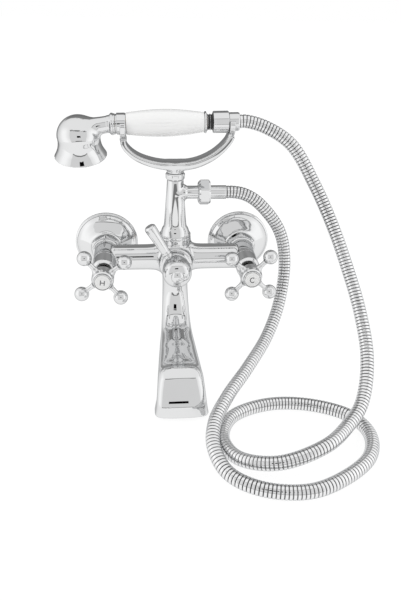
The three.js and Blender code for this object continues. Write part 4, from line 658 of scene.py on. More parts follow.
def shower_hose():
    """Ribbed tube: radius r(s) = crest less a groove once each pitch, carried along the middle line, with
    (r cos t, r sin t) across it. The groove's depth is given at shares of a turn. The bore is a second, plain
    tube that closes on the first at both ends."""
    line = hose_line()
    along = lengths(line)
    total = along[-1]
    turns = round(total / HOSE_PITCH)
    places = np.append((np.arange(turns)[:, None] + HOSE_TURN[:, 0]).ravel() / turns, 1)
    depth = np.append(np.tile(HOSE_TURN[:, 1], turns), 1)
    centre = np.column_stack(read(line, places * total, along))
    rough_way = directions(evenly(line, HOSE_WAYS))
    spots = np.linspace(0, 1, HOSE_WAYS)
    way, side = (np.column_stack(read(v, places, spots)) for v in (rough_way, carried_side(rough_way)))
    side = unit(side - way * np.einsum("ij,ij->i", side, way)[:, None])
    other = np.cross(way, side)
    t = circle(HOSE_SIDES)
    around = side[:, None] * np.cos(t)[None, :, None] + other[:, None] * np.sin(t)[None, :, None]
    radius = HOSE_D / 2 - HOSE_GROOVE * depth
    outer = centre[:, None] + around * radius[:, None, None]
    bore = centre[:, None] + around * HOSE_BORE
    inner = np.concatenate([bore[::12], bore[-1:]])[::-1]
    points, faces = skin(np.concatenate([outer, inner]))
    made = piece("ribbed_hose", points, faces, None, ["shower_hose"], "hose_chrome")
    # The groove depth also sets where painted shade falls on the hose, and the bore is painted in full shade
    add_values(made.data, "groove", np.repeat(np.append(depth, np.ones(len(inner))), HOSE_SIDES))
    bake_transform(made)
    return made, line, total


camera = set_camera()
hose, hose_middle, hose_length = shower_hose()


# Wall connection
PLATE = np.vstack([
    rounded([(31, 0), (35, 0, 0.5), (35, 2.4, 0.9), (33.6, 3.1, 0.7), (33.0, 3.7, 1.2)]),
    through([(32.6, 4.6), (29.2, 8.3), (23.4, 12.2), (18.3, 15.4), (16.7, 17.2), (16.2, 18.4)], 8),
    [(16.2, 19), (15.6, 19), (13.6, 19), (13.6, 17.6), (21.6, 11.2), (29.6, 4.6), (31, 2.4)],
])
UNION_NUT = rounded([
    (13.5, 19.6), (15.4, 19.6, 0.3), (17.6, 20.9), (17.6, 24.6, 0.3), (15.3, 25.4, 0.3), (14.6, 25.7, 0.3),
    (14.6, 28.9, 0.8), (13.9, 30.1, 0.3), (11, 30.1), (11, 28.3), (13.5, 28.3),
])
SHROUD = rounded([
    (11.3, 58.3), (12.3, 58.3, 0.25), (12.3, 76.8, 2.9), (10.1, 80, 1), (7.3, 80, 0.3), (7.3, 79.1), (11.3, 75.4),
])
CAP_TOP = 106.4
CAP_FALL = 0.3
CAP_RADIUS = 6.9
INDEX_CAP = rounded([(0, 104), (7.8, 104), (7.8, 105.6, 0.5), (6.9, 106.1, 0.8), (0, CAP_TOP)])
STROKE_WIDTH = 0.9
STROKE_HEIGHTS = (0.06, 0.06, -0.12, -0.12)
THREAD_PITCH = 1.8
THREAD_START = -16
CONNECTOR_OFFSET = 8
CONNECTOR_BORE = 6.5
CONNECTOR_FRONT = np.array([(10, 5), (13.2, 5), (13.2, 9), (13.2, 19), (13.2, 23.5), (6.5, 23.5), (6.5, 12)])


def threaded(side, inlet):
    """Threaded eccentric: turned in two lengths on axes 8 mm apart. The wall end carries a thread whose crest
    turns once round for each 1.8 mm along it."""
    t = circle(64)
    h = np.linspace(THREAD_START, 5, 141)[:, None]
    phase = (h / THREAD_PITCH + t / (2 * math.pi)) % 1
    ends = np.clip((h - THREAD_START) / 1.5, 0.2, 1) * np.clip((3.5 - h) / 2, 0, 1)
    radius = 10.45 - 0.95 * ends * np.abs(2 * phase - 1) * 1.1 - (1 - ends) * 0.6
    lower = np.array([0, CONNECTOR_OFFSET, 0])
    wall_end = rings(radius, t, h) - lower
    front = rings(CONNECTOR_FRONT[:, :1], t, CONNECTOR_FRONT[:, 1:])
    front[0, :, 1] -= 6
    bore = rings(CONNECTOR_BORE, t, np.array([[4.0], [THREAD_START]])) - lower
    rows = np.concatenate([wall_end, front, bore])
    on_axis(f"threaded_inlet_{side}", rows, (), inlet, "mixer", f"inlet_eccentric_{side}", "brass")


def index_mark(side, lines, place):
    """Printed letter on the disc: each stroke is a flat bar carried along its line, its top a little above the
    disc's cone, top - fall * r / radius."""
    parts, count = [], 0
    for line in lines:
        line = np.asarray(line, float)
        way = directions(line)
        off = np.column_stack([-way[:, 1], way[:, 0]]) * STROKE_WIDTH / 2
        edges = np.stack([line - off, line + off, line + off, line - off], 1)
        cone = CAP_TOP - CAP_FALL * np.linalg.norm(edges, axis=2) / CAP_RADIUS
        rows = np.concatenate([edges, (cone + STROKE_HEIGHTS)[..., None]], 2)
        points, faces = skin(rows, rows[0].mean(0), rows[-1].mean(0))
        parts.append((points, [f + count for f in faces]))
        count += len(points)
    points = moved(np.vstack([p for p, _ in parts]), place)
    faces = [np.vstack([f[k] for _, f in parts]) for k in (0, 1)]
    piece(f"index_mark_{side}", points, faces, f"handle_{side}", None, "rubber", cap_mark)


def letter_lines(letter):
    """Strokes of an H, or the arc of a C, in millimetres about the disc's middle."""
    if letter == "H":
        posts = [[(x, z) for z in np.linspace(-2.6, 2.6, 5)] for x in (-1.9, 1.9)]
        return [*posts, [(x, 0) for x in np.linspace(-1.8, 1.8, 4)]]
    arc = np.radians(np.linspace(45, 315, 28))
    return [np.column_stack([2.35 * np.cos(arc), 2.6 * np.sin(arc)])]


handle_places = {}
for side, valve_at, turned_by, letter in (("left", -VALVE_X, 7.2, "H"), ("right", VALVE_X, -2.3, "C")):
    inlet = shift(valve_at, 0, 0) @ OUT
    handle = handle_places[side] = shift(valve_at, 0, 0) @ turn("Y", turned_by) @ OUT
    turned(f"cover_plate_{side}", PLATE, inlet, "mixer", f"wall_plate_{side}", 128)
    turned(f"inlet_nut_{side}", UNION_NUT, inlet, "mixer", f"union_nut_{side}", 144, flats=30)
    turned(f"valve_shroud_{side}", SHROUD, inlet, "mixer", f"bonnet_shroud_{side}")
    turned(
        f"index_disc_{side}", INDEX_CAP, handle, f"handle_{side}", f"index_cap_{side}",
        slot="white_gloss", finish=cap_white,
    )
    index_mark(side, letter_lines(letter), handle)
    threaded(side, inlet)


# Body casting
SPOUT_SHARES = np.array([
    [0, 0, 0.215, 0.02, 0], [0.16, 0.02, 0.37, 0.04, 0.01], [0.32, 0.13, 0.565, 0.2, 0.05],
    [0.48, 0.31, 0.69, 0.47, 0.06], [0.64, 0.53, 0.745, 0.66, 0.1], [0.77, 0.75, 0.765, 0.76, 0.2],
    [0.86, 0.905, 0.8, 0.82, 0.42], [0.93, 0.98, 0.88, 0.89, 0.62], [1, 1, 1, 1, 1],
])
SPOUT_DROP = 110
SPOUT_RUN = 127.5
SPOUT_ROWS = 320
NECK_RADIUS = 13.5
MOUTH_HALF_WIDTH = 26.5
MOUTH_HALF_DEPTH = 15.5
MOUTH_WALL = 2.6
SPOUT_FRONT = through([
    (0, 0), (20, 0), (26, 2.1), (32, 2.6), (38, 2.6), (44, 2.2), (51, 1.1), (58, -0.1), (66, -1.3), (76, -2.9),
    (90, -3.7), (104, -1.5), (116, -0.2), (130, 0), (148, 0), (158, 0.5), (165, 2.7), (171, 1.3), (176, -0.7),
    (181, -1.5), (185, -1.1), (189, 0.3), (193, 0.25), (197, 0.2), (199.5, 0),
], 10)


class Spine:
    """A flat line with the sizes of its sections, as rows (first, second, *sizes) at places along it."""

    def __init__(self, table, count):
        """The line through a table of such rows, read at even steps."""
        along = lengths(table[:, :2])
        self.end = along[-1]
        self.places = np.linspace(0, self.end, count)
        self.rows = np.column_stack(read(table, self.places, along))
        self.way = directions(self.rows[:, :2])
        self.course = np.column_stack([self.rows[:, :2], self.way, np.gradient(self.way, self.places, axis=0)])

    def nearest(self, first, second):
        """Place s of the point nearest to (first, second). From the nearest of every third row, s grows by
        (p - L) . T / (1 - (p - L) . T'), for the line L and its direction T at s."""
        best = np.full(first.shape, np.inf)
        row = np.zeros(first.shape, int)
        for i in range(0, len(self.rows), 3):
            gap = (first - self.rows[i, 0]) ** 2 + (second - self.rows[i, 1]) ** 2
            row = np.where(gap < best, i, row)
            best = np.minimum(gap, best)
        on = self.places[row]
        for _ in range(3):
            held = np.clip(on, 0, self.end)
            row_a, row_b, way_a, way_b, bend_a, bend_b = read(self.course, held, self.places)
            off_a, off_b = first - row_a, second - row_b
            ahead = off_a * way_a + off_b * way_b
            spread = np.maximum(1 - off_a * bend_a - off_b * bend_b, 0.3)
            beyond = (held + ahead < 0) | (held + ahead > self.end)
            on = held + ahead / np.where(beyond, 1, spread)
        return on

    def at(self, first, second):
        """That place, also held between the line's ends, the offset to the line's left, and the sizes there."""
        on = self.nearest(first, second)
        held = np.clip(on, 0, self.end)
        row_a, row_b, *sizes = read(self.rows, held, self.places)
        way_a, way_b = read(self.way, held, self.places)
        return on, held, (second - row_b) * way_a - (first - row_a) * way_b, sizes


def spout_table():
    """Middle line of the spout from inside the bar to the mouth, as (out, up, half width, half depth, power).
    The power of the section grows from 2, an ellipse, to 4, a rounded oblong."""
    line = through(np.column_stack([
        AXIS_OUT + SPOUT_SHARES[:, 1] * SPOUT_RUN, -SPOUT_SHARES[:, 2] * SPOUT_DROP,
    ]), 24)
    place = np.linspace(0, 1, len(line))
    knots = np.linspace(0, 1, 10)
    shares = []
    for column in (3, 4):
        curve = np.interp(knots, SPOUT_SHARES[:, 0], SPOUT_SHARES[:, column])
        curve = through(np.column_stack([knots, curve]), 24)
        shares.append(np.interp(place, curve[:, 0], curve[:, 1]))
    above = np.array([[AXIS_OUT, up, NECK_RADIUS, NECK_RADIUS, 2] for up in np.linspace(2, -22, 13)])
    below = np.column_stack([
        line,
        NECK_RADIUS + (MOUTH_HALF_WIDTH - NECK_RADIUS) * shares[0],
        NECK_RADIUS + (MOUTH_HALF_DEPTH - NECK_RADIUS) * shares[1],
        2 + 2 * place**2,
    ])
    return np.vstack([above, below])


spout_line = Spine(spout_table(), SPOUT_ROWS)


def superellipse(a, b, half_a, half_b, power):
    """Distance outside |a / half_a|^power + |b / half_b|^power = 1, as its root less 1 over the root's slope."""
    u, v = np.abs(a / half_a) + 1e-6, np.abs(b / half_b) + 1e-6
    root = (u**power + v**power) ** (1 / power)
    steep = root ** (1 - power) * np.hypot(u ** (power - 1) / half_a, v ** (power - 1) / half_b)
    return (root - 1) / np.maximum(steep, 0.4 / np.maximum(half_a, half_b))


def spout(x, out, up):
    """The spout: rounded sections carried down its middle line, cut square at the mouth. Their front half is
    deepened by a swell that varies along the line."""
    on, held, through_it, (wide, deep, power) = spout_line.at(out, up)
    swell = np.interp(held, SPOUT_FRONT[:, 0], SPOUT_FRONT[:, 1])
    shape = superellipse(x, through_it, wide, np.where(through_it > 0, deep + swell, deep), power)
    past = on - spout_line.end
    return shared(shape, past, 1.2), past, through_it


BAR = np.vstack([
    [(0, -69)],
    rounded([(0, -69), (13.7, -69, 7.5), (13.6, -58)])[1:],
    through([(13.6, -52), (13.6, -44), (13.65, -35), (13.75, -28), (14.2, -22), (14.9, -17)], 5),
])
BAR = np.vstack([BAR, BAR[::-1] * [1, -1]])
BOSS = rounded([(0, 40), (14.8, 40), (17.5, 50, 6), (17.5, 66, 1.6), (0, 66)])
SOCKET = rounded([(0, 0), (14.3, 0), (14.3, 24, 0.8), (0, 24)])
BARREL = rounded([
    (0, 25.5), (10.7, 25.5), (10.7, 30.6), (11.9, 30.6, 0.4), (11.9, 32.4, 0.5), (12.3, 33.4, 0.5),
    (12.3, 58, 0.3), (0, 58),
])


def body(points):
    """The casting: bar, socket, spout and boss, and a barrel at each end, joined with fillets. The chambers,
    the socket's bore and the mouth's recess are cut from it."""
    x, out, up = points[:, 0], -points[:, 1], points[:, 2]
    boss_off, socket_off = np.hypot(x, up), np.hypot(x, out - AXIS_OUT)
    barrel_off = np.hypot(np.abs(x) - VALVE_X, up)
    neck, past, through_it = spout(x, out, up)
    whole = blend(to_outline(np.hypot(out - AXIS_OUT, up), x, BAR), to_outline(socket_off, up, SOCKET), 6)
    whole = blend(whole, neck, 11)
    whole = blend(whole, to_outline(boss_off, out, BOSS), 3.5)
    whole = blend(whole, to_outline(barrel_off, out, BARREL), 1.2)
    recess = superellipse(x, through_it, MOUTH_HALF_WIDTH - MOUTH_WALL, MOUTH_HALF_DEPTH - MOUTH_WALL, 4)
    for tool in (
        hole(barrel_off, out, 10.5, 37.5),
        hole(boss_off, out, 11, 30.3),
        hole(socket_off, up, 11.5, 12),
        np.maximum(recess, -5 - past),
        hole(np.hypot(x, through_it), past, 12.3, -14),
    ):
        whole = cut(whole, tool)
    return whole


casting(body, (-89, -189, -113), (89, -23, 26), 1.0, [("body_casting", "mixer_body", UP, "mixer")])


# Cross handles
ARMS_OUT = 95.5
BALL_AT = 27.75
BALL_RADIUS = 7.4
HUB = rounded([
    (0, 86), (7.9, 86, 0.4), (7.9, 87.6, 0.3), (9.6, 88.2, 0.4), (9.6, 89.4, 0.3), (11.25, 90.6, 1.2),
    (11.25, 98.6, 1.5), (10.2, 102.2, 1.2), (9.1, 103.4, 0.4), (9.1, 104.4, 0.3), (8.8, 106, 0.5), (0, 106),
])
ARM = rounded([(0, 4), (4.1, 4), (3.9, 10.4, 1), (2.4, 14.6, 4), (2.35, 20, 2), (2.6, 24), (0, 24)])


def cross_handle(points):
    """Hub turned about the spindle, with four arms turned about the diagonals and a ball on each. The seat of
    the disc is cut from it."""
    x, z, out = points.T
    a, b = np.abs(x + z) / math.sqrt(2), np.abs(x - z) / math.sqrt(2)
    far, near = np.maximum(a, b), np.minimum(a, b)
    off = np.hypot(near, out - ARMS_OUT)
    hub = to_outline(np.hypot(x, z), out, HUB)
    ball = np.hypot(off, far - BALL_AT) - BALL_RADIUS
    whole = blend(blend(hub, to_outline(off, far, ARM), 1.6), ball, 1.2)
    return cut(whole, hole(np.hypot(x, z), out, 8.1, 104), 0.3)


casting(cross_handle, (-29, -29, 84.5), (29, 29, 107.5), 0.5, [
    (f"handle_casting_{side}", f"cross_handle_{side}", handle_places[side], f"handle_{side}")
    for side in ("left", "right")
])


# Diverter
LEVER_OUT = 76
LEVER_LEAN = 30.5
BONNET = rounded([
    (4.8, 57), (10.7, 57), (10.7, 66), (15, 66), (15, 66.5, 0.2), (12.2, 67, 1.6), (11.6, 68.6), (4.8, 68.6),
])
KNOB = np.vstack([
    [(0, 69.4), (11.9, 69.4)],
    through([
        (12.4, 69.5), (13.4, 71.4), (14.2, 74.4), (14.75, 79), (15, 84), (14.85, 88), (13.9, 91.4), (12.2, 93.8),
        (10.2, 95.3), (8.2, 96.2), (6.9, 96.6),
    ], 5),
    through([(6.6, 97), (6.35, 97.6), (5.2, 98.8), (3.6, 99.7), (1.8, 100.2), (0, 100.35)], 5),
])
LEVER_BALL = np.vstack([
    [(2.8, 14.3)],
    [(4.5 * math.cos(a), 17.3 + 4.5 * math.sin(a)) for a in np.linspace(-0.72, 0.72, 15)],
    [(2.8, 20.3)],
])
LEVER = rounded([
    (0, 8.3), (2.5, 8.3), (2.5, 20.6), (5.2, 20.6, 0.5), (5.2, 22.4, 0.7), (4.6, 23.2, 0.6),
    (6, 49.2, 3), (6, 53.2, 1.1), (4.2, 55, 1.3), (0, 55),
])
lever_place = shift(0, -LEVER_OUT, 0) @ turn("Y", -LEVER_LEAN)
turned("bonnet_ring", BONNET, OUT, "mixer", "diverter_bonnet")
turned("diverter_dome", KNOB, OUT, "diverter", "diverter_knob", 128)
turned("lever_base", LEVER_BALL, lever_place, "diverter", "lever_collar", 64)
turned("lever", LEVER, lever_place, "diverter", "lever_rod", 64)


# Riser column and cradle
SHAFT = np.vstack([
    rounded([
        (0, 12.3), (11.2, 12.3), (11.2, 24.3), (16.5, 24.3, 1.1), (16.5, 27.5, 1.2), (15.5, 27.5, 0.3), (15.2, 29),
    ])[:-1],
    through([
        (15.3, 28.4), (14.9, 30), (14.1, 32.4), (13.1, 34.4), (12.35, 35.9), (11.95, 37.8), (11.5, 42),
        (10.2, 60), (9.2, 74), (8.5, 84),
    ], 6),
    rounded([(8.4, 84), (8.25, 86, 0.6), (0, 86)])[1:],
])
NIPPLE = rounded([
    (0, 0), (8, 0), (8, 10.2, 0.5), (7.4, 11.2, 0.4), (6.75, 12.2, 0.6), (6.75, 23.4), (10, 23.4), (10, 31.5),
    (0, 31.5),
])
CRADLE_RING = rounded([(4.8, 86.3), (9.1, 86.3, 0.5), (9.9, 87.6, 0.8), (9.9, 91.6, 0.9), (8.9, 93, 0.6), (4.8, 93)])


def column(points):
    """Shaft turned about the riser's axis, with the hose nipple turned about an axis to the right. The hole
    for the cradle's root is cut from its top."""
    x, back, up = points.T
    off = np.hypot(x, back)
    nipple = to_outline(np.hypot(back, up - NIPPLE_UP), x, NIPPLE)
    whole = blend(to_outline(off, up, SHAFT), nipple, 1.8)
    return cut(whole, hole(off, up, 4.8, 79))


casting(column, (-18, -18, 11), (33, 18, 87.5), 0.65, [("column_casting", "riser_column", COLUMN, "mixer")])
turned("cradle_ring", CRADLE_RING, COLUMN, "mixer", "cradle_collar")

FORKS = ((-51.3, 10.8), (55.2, 9.35))
FORK_WALL = 2.4
FORK_HALF_WIDTH = 2.7
FORK_ROUND = 0.9
STRAP_UP = 102.6
STRAP_ROWS = 240
STRAP_HALF_WIDTH = 9.25
STRAP_LEFT = [(1, 1), (0.985, 0.8), (0.92, 0.6), (0.74, 0.31), (0.4, 0.07)]
STRAP_RIGHT = [(0.36, 0.07), (0.64, 0.29), (0.83, 0.56), (0.95, 0.82), (1, 1)]
ROOT = rounded([(0, 79.3), (4.5, 79.3), (4.5, 93.3), (8.5, 93.3, 0.5), (7.2, 97.5, 3), (8.8, 102.6), (0, 102.6)])


def handset_up(x):
    """Height of the handset's axis at a place along it."""
    return HANDSET_UP + x * math.tan(math.radians(HANDSET_TILT))


def strap_table():
    """Middle line of the strap in (x, up), with its half thickness. The middle is set off below the line by
    a keel that is fullest over the column."""
    halves = []
    for shares, (x, reach) in zip((STRAP_LEFT, STRAP_RIGHT), FORKS):
        lift = handset_up(x) - reach - 3.6 - STRAP_UP
        halves.append([(a * x, STRAP_UP + b * lift) for a, b in shares])
    line = evenly(through([*halves[0], (0, STRAP_UP), *halves[1]], 24), STRAP_ROWS)
    place = np.linspace(0, 1, STRAP_ROWS)
    side = np.abs(2 * place - 1)
    way = directions(line)
    end = np.where(place < 0.5, 5.6, 7.2)
    half = (9.4 + (end - 9.4) * side) / 2
    line = line + np.column_stack([way[:, 1], -way[:, 0]]) * (2.2 * (1 - side))[:, None]
    return np.column_stack([line, half])


strap_line = Spine(strap_table(), STRAP_ROWS)


def fork(x, back, up, middle, reach):
    """U-shaped plate: half a ring under the handset's axis with a rounded tip on each side, its edges rounded."""
    height = up - handset_up(middle)
    ring = np.abs(np.hypot(back, height) - reach - FORK_WALL) - 2
    tips = np.hypot(np.abs(back) - reach - FORK_WALL, height - 1) - 2
    shape = np.where(height < 1, ring, tips)
    a, b = shape + FORK_ROUND, np.abs(x - middle) - FORK_HALF_WIDTH + FORK_ROUND
    return np.minimum(np.maximum(a, b), 0) + np.hypot(np.maximum(a, 0), np.maximum(b, 0)) - FORK_ROUND


def cradle(points):
    """Strap of oblong section along its line, a fork at each end, and the root over the column."""
    x, back, up = points.T
    on, _, off, (half,) = strap_line.at(x, up)
    strap = superellipse(back, off, STRAP_HALF_WIDTH, half, 4)
    strap = shared(strap, np.maximum(on - strap_line.end, -on), 0.6)
    whole = blend(strap, to_outline(np.hypot(x, back), up, ROOT), 5)
    for middle, reach in FORKS:
        whole = blend(whole, fork(x, back, up, middle, reach), 2.4)
    return whole


casting(cradle, (-62, -17, 78), (66, 17, 148), 0.7, [("cradle_casting", "cradle", COLUMN, "mixer")])


# Handset
HEAD_X = -94.8
RIM_UP = -32.4
BELL_FLARE = through([
    (26, 0.5), (25.3, 1.6), (23.95, 4.2), (22.5, 7.5), (21.65, 10.5), (21.1, 13.5), (20.85, 16.5), (21, 19.5),
    (21.2, 21.3),
], 6)
BELL_CROWN = np.array([
    (20.6 * math.cos(a) + 0.6 * (1 - math.sin(a)), 21.3 + 19.7 * math.sin(a))
    for a in np.linspace(0.08, math.pi / 2, 22)
])
BELL = np.vstack([[(0, 0)], rounded([(0, 0), (26.05, 0, 0.3), (26, 0.5)])[1:-1], BELL_FLARE, BELL_CROWN])
HOLLOW = np.vstack([
    [(0, -3), (24.2, -3), (24.2, 0.6)], BELL_FLARE[4:] - [1.7, 0], BELL_CROWN * [0.915, 1] - [0, 1.7],
])
BELL[-1, 0] = HOLLOW[-1, 0] = 0
FLARE = rounded([
    (0, -66.5), (8.1, -66.5), (8.3, -64.4, 1.5), (10.5, -62.4, 0.8), (10.5, -60.9, 0.5), (9.9, -60.3, 0.3),
    (9.9, -58.6, 0.5), (0, -58.6),
])
NOZZLE_RINGS = ((5.2, 6), (10.2, 12), (15.2, 18), (19.6, 24))
NOZZLE_SIZE = 0.75
PLATE_RADIUS = 22.4


def head(points):
    """Bell turned about its own axis, the neck that slopes into it, and the flare at the neck's end. The
    hollow of the bell and the tube's socket are cut from them."""
    x, y, up = points.T
    bell_off, tube_off = np.hypot(x - HEAD_X, y), np.hypot(y, up)
    share = np.clip((x + 86.7) / 21.6, 0, 1)
    radius = 8.1 * (1 + 0.25 * (1 - share) ** 2)
    neck = np.hypot(y, up + 4.1 * (1 - share)) - radius
    neck = np.maximum(neck, np.maximum(-90 - x, x + 64.5))
    whole = blend(to_outline(bell_off, up - RIM_UP, BELL), neck, 4)
    whole = blend(whole, to_outline(tube_off, x, FLARE), 0.8)
    whole = cut(whole, to_outline(bell_off, up - RIM_UP, HOLLOW), 0.3)
    return cut(whole, hole(tube_off, x, 6, -66.6))


casting(head, (-122.5, -28, -34.5), (-57, 28, 12), 0.7, [("handset_bell", "handset_head", HANDSET, "handset")])


def spray_face():
    """Spray plate: a shallow dish h(r) with four rings of nozzles, each a nub whose height is
    0.9 exp(-(distance / size)^2). The back is flat."""
    spots = np.vstack([rings(r, circle(n), 0)[:, :2] for r, n in NOZZLE_RINGS])
    radius = np.append(np.linspace(0.25, PLATE_RADIUS, 90), [22.7, PLATE_RADIUS])[:, None]
    rows = rings(radius, circle(240), 0.0)
    least = np.min([((rows[..., :2] - spot) ** 2).sum(-1) for spot in spots], axis=0)
    dish = 0.6 * np.cos(radius / PLATE_RADIUS * math.pi / 2)
    rows[..., 2] = 2.0 - 0.9 * np.exp(-least / NOZZLE_SIZE**2) + dish
    rows[-2:, :, 2] = [[2.6], [3.9]]
    place = HANDSET @ shift(HEAD_X, 0, RIM_UP - 0.4)
    on_axis("spray_face", rows, (2.6, 3.9), place, "handset", "spray_plate", "white_gloss")


def grip_outline():
    """Swelling sleeve: a sine from each end's radius up to the fullest place, 0.47 of the way along it."""
    share = np.linspace(0, 1, 30)
    side = np.where(share < 0.47, share / 0.47, (1 - share) / 0.53)
    radius = np.where(share < 0.47, 10.5, 9.5)
    radius = radius + (13.15 - radius) * np.sin(side * math.pi / 2)
    shell = np.column_stack([radius, -48 + 76 * share])
    return np.vstack([[(6.1, -48), (9.9, -48), (10.35, -47.8)], shell[1:-1], [(9.5, 27.6), (9.1, 28), (6.1, 28)]])


FRONT_FERRULE = rounded([
    (6.1, -58.3), (9.4, -58.3), (9.4, -57.2, 0.2), (10.4, -56.9, 0.4), (10.4, -49.4, 0.5), (10.0, -48.3, 0.3),
    (6.1, -48.3),
])
REAR_RING = rounded([(6.1, 28.3), (10, 28.3, 0.3), (10.5, 29, 0.4), (10.4, 29.9, 0.4), (8.6, 30.6, 0.3), (6.1, 30.6)])
TAIL = np.vstack([
    [(4.2, 30.9)],
    through([
        (8.2, 30.9), (7.5, 31.9), (7.2, 32.7), (7.6, 33.4), (8.2, 33.8), (7.7, 34.3), (7.2, 35), (7.6, 35.8),
        (8.7, 36.6),
    ], 4),
    [(8.7, 44.6), (4.2, 44.6)],
])
CONE_NUT = rounded([
    (9.0, 36.8), (10.5, 36.8, 0.7), (10.5, 38.6, 0.2), (10.35, 38.9, 0.2), (10.5, 39.2, 0.2), (10.5, 52.2, 1.1),
    (7.9, 52.2), (7.9, 49.4), (9.0, 49.4),
])
HANDSET_SLEEVE = rounded([
    (3.5, 46.6), (8.7, 46.6), (8.7, 48.8), (7.5, 48.8), (7.5, 52.5), (8.95, 52.5, 0.4), (8.95, 61.3, 0.3),
    (8.4, 62.8, 0.5), (3.5, 62.8),
])
NIPPLE_NUT = rounded([
    (10.5, 24.2), (11.2, 24.2, 0.3), (13.4, 26, 0.5), (13.4, 34.2, 0.5), (11.2, 36, 0.3), (7.3, 36), (7.3, 34.8),
    (10.5, 34.8),
])
NIPPLE_SLEEVE = rounded([
    (3.5, 33.5), (10.2, 33.5), (10.2, 34.5), (7, 34.5), (7, 50.8, 0.2), (6.8, 51.1, 0.2), (7, 51.4, 0.2),
    (7, 52.8, 0.5), (3.5, 52.8),
])
spray_face()
handset_axis = HANDSET @ RIGHT
nipple_axis = shift(0, -AXIS_OUT, NIPPLE_UP) @ RIGHT
turned("front_ferrule", FRONT_FERRULE, handset_axis, "handset", "grip_ferrule_front")
turned("grip_sleeve", grip_outline(), handset_axis, "handset", "handset_grip", 128, slot="white_gloss")
turned("rear_ring", REAR_RING, handset_axis, "handset", "grip_ferrule_rear")
turned("tail_neck", TAIL, handset_axis, "handset", "tail_fitting", finish=neck_chrome)
turned("cone_nut", CONE_NUT, handset_axis, "handset", "handset_hose_nut")
turned("handset_sleeve", HANDSET_SLEEVE, handset_axis, "handset", "hose_ferrule_handset")
turned("nipple_nut", NIPPLE_NUT, nipple_axis, "mixer", "hose_nut_mixer", 144, flats=23.4)
turned("nipple_sleeve", NIPPLE_SLEEVE, nipple_axis, "mixer", "hose_ferrule_mixer")


# Aerator in the mouth of the spout
AERATOR_RING = rounded([(10.6, 3), (12, 3, 0.4), (12, 12.5), (9.2, 12.5), (9.2, 11.3), (10.6, 10.1)])
MESH_RADIUS = 10.3
MESH_STEP = 1.3


def aerator():
    """Ring in the spout's mouth, with its mesh: a grid whose height is |sin| of each way across, in steps of
    1.3 mm."""
    out, up = spout_line.rows[-1, :2]
    slope = math.degrees(math.atan2(spout_line.way[-1, 0], -spout_line.way[-1, 1]))
    place = shift(0, -out, up) @ turn("X", -slope)
    turned("aerator_ring", AERATOR_RING, place, "mixer", "aerator_housing")
    radius = np.append(np.linspace(0.2, MESH_RADIUS, 60), MESH_RADIUS)[:, None]
    rows = rings(radius, circle(160), 0.0)
    rows[..., 2] = 4.3 + 0.8 * np.abs(np.sin(rows[..., :2] * math.pi / MESH_STEP)).prod(-1)
    rows[-1, :, 2] = 6.6
    on_axis("aerator_mesh", rows, (4.3, 6.6), place, "mixer", "aerator_insert", "nylon")


aerator()


# Studio
STUDIO_MIDDLE = (0, -0.06, 0.03)
FLOOR_GLOW = 1.11
FLOOR_GLOW_SHARE = 0.8
LIGHT_LEVEL = 0.8
CARD_STEPS = 49


def stage_sheet(name, grid, material, mask=None):
    """Sheet through a grid of points, which may carry a mask for its material."""
    rows, columns = grid.shape[:2]
    index = np.arange(rows * columns).reshape(rows, columns)
    faces = np.stack([index[:-1, :-1], index[1:, :-1], index[1:, 1:], index[:-1, 1:]], -1).reshape(-1, 4)
    mesh = bpy.data.meshes.new(name)
    mesh.from_pydata(grid.reshape(-1, 3).tolist(), [], faces.tolist())
    mesh.materials.append(material)
    if mask is not None:
        add_values(mesh, "mask", mask)
    made = add_object(name, mesh)
    return made


def seen(kit):
    """1 for camera, glossy and transmission rays, and 0 for the rest."""
    path = [kit.node("LightPath", output=f"Is {name} Ray") for name in ("Camera", "Glossy", "Transmission")]
    return path[0] + path[1] + path[2]


def set_world():
    """White all round where it is seen, and a plain light level for everything it lights."""
    world = bpy.data.worlds.new("studio")
    bpy.context.scene.world = world
    kit = Kit("studio", world)
    level = seen(kit) * 0.2 + LIGHT_LEVEL
    kit.close(kit.shader("Background", 1, Strength=level), "OutputWorld")


def set_floor():
    """Pale floor: mostly an even white, with a share that takes the object's shadow."""
    kit = Kit("pale_floor")
    paper = kit.shader("BsdfDiffuse", 0.9)
    glow = kit.shader("Emission", 1, Strength=FLOOR_GLOW)
    side = np.linspace(-6, 6, 3)
    grid = np.stack(np.meshgrid(side, side - 0.2, [FLOOR_UP * MM], indexing="ij"), -1)[:, :, 0]
    stage_sheet("floor", grid, kit.between(seen(kit) * FLOOR_GLOW_SHARE, paper, glow))


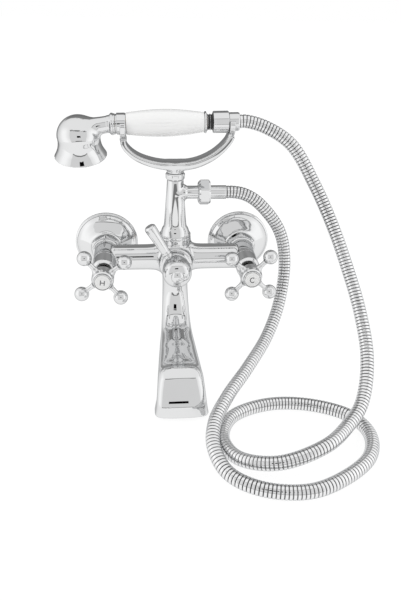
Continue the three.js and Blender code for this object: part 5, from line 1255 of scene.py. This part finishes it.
def card(name, shade, across_it, above, soft, distance):
    """Card that only reflections see, a patch of a sphere round the object. Its edges are in degrees to the
    right of and above the way to the camera. In a soft part inside them its mask rises as 3 t^2 - 2 t^3."""
    view = np.array(camera.matrix_world)[:3]
    back = unit(view[:, 3] - STUDIO_MIDDLE)
    up = unit(np.cross(back, view[:, 0]))
    right = np.cross(up, back)
    a, b = np.meshgrid(np.linspace(*across_it, CARD_STEPS), np.linspace(*above, CARD_STEPS), indexing="ij")
    rise = np.array([
        np.clip(np.minimum(v - v.min(), v.max() - v) / size, 0, 1) for v, size in zip((a, b), soft)
    ])
    mask = (rise**2 * (3 - 2 * rise)).prod(0)
    a, b = np.radians(a)[..., None], np.radians(b)[..., None]
    sphere = np.sin(a) * np.cos(b) * right + np.sin(b) * up + np.cos(a) * np.cos(b) * back
    kit = Kit(name)
    clear = kit.shader("BsdfTransparent", 1)
    glow = kit.shader("Emission", 1, Strength=shade)
    surface = kit.between(kit.attribute("mask"), clear, glow)
    made = stage_sheet(name, STUDIO_MIDDLE + distance * sphere, surface, mask)
    made.visible_camera = made.visible_diffuse = made.visible_shadow = False
    made.visible_transmission = made.visible_volume_scatter = False


def lamp(name, place, size_x, size_y, strength):
    """Soft box: an area lamp of the given radiance that faces the object, and that polished pieces don't show."""
    data = bpy.data.lights.new(name, "AREA")
    data.shape = "RECTANGLE"
    data.size, data.size_y = size_x, size_y
    data.energy = strength * math.pi * size_x * size_y
    made = add_object(name, data)
    way = Vector(place) - Vector(STUDIO_MIDDLE)
    made.matrix_world = Matrix.Translation(place) @ way.to_track_quat("Z", "Y").to_matrix().to_4x4()
    made.visible_glossy = False


set_world()
set_floor()
card("dim_back", 0.42, (112, 248), (-55, 80), (30, 28), 0.74)
card("dark_top", 0.28, (-72, 72), (84, 138), (14, 8), 0.73)
card("glow_left", 1.22, (-104, -42), (-40, 42), (28, 22), 0.72)
card("glow_right", 1.22, (42, 104), (-40, 42), (28, 22), 0.72)
card("grey_panel", 0.82, (-44, 44), (-27, 28), (1.2, 1.2), 0.7)
card("panel_top", 0.22, (-44, 44), (26.5, 31), (1, 1), 0.68)
card("panel_bottom", 0.22, (-44, 44), (-30, -25.5), (1, 1), 0.68)
card("opening", 0.002, (-9, 9), (-6, 6), (0.6, 0.6), 0.65)
lamp("box_left", (-1.1, -0.7, 0.6), 0.5, 0.9, 1.1)
lamp("box_right", (1.1, -0.7, 0.6), 0.5, 0.9, 1.1)
lamp("box_top", (0, -0.2, 1.3), 0.8, 0.8, 0.7)

scene = bpy.context.scene
scene.view_settings.view_transform = "Standard"
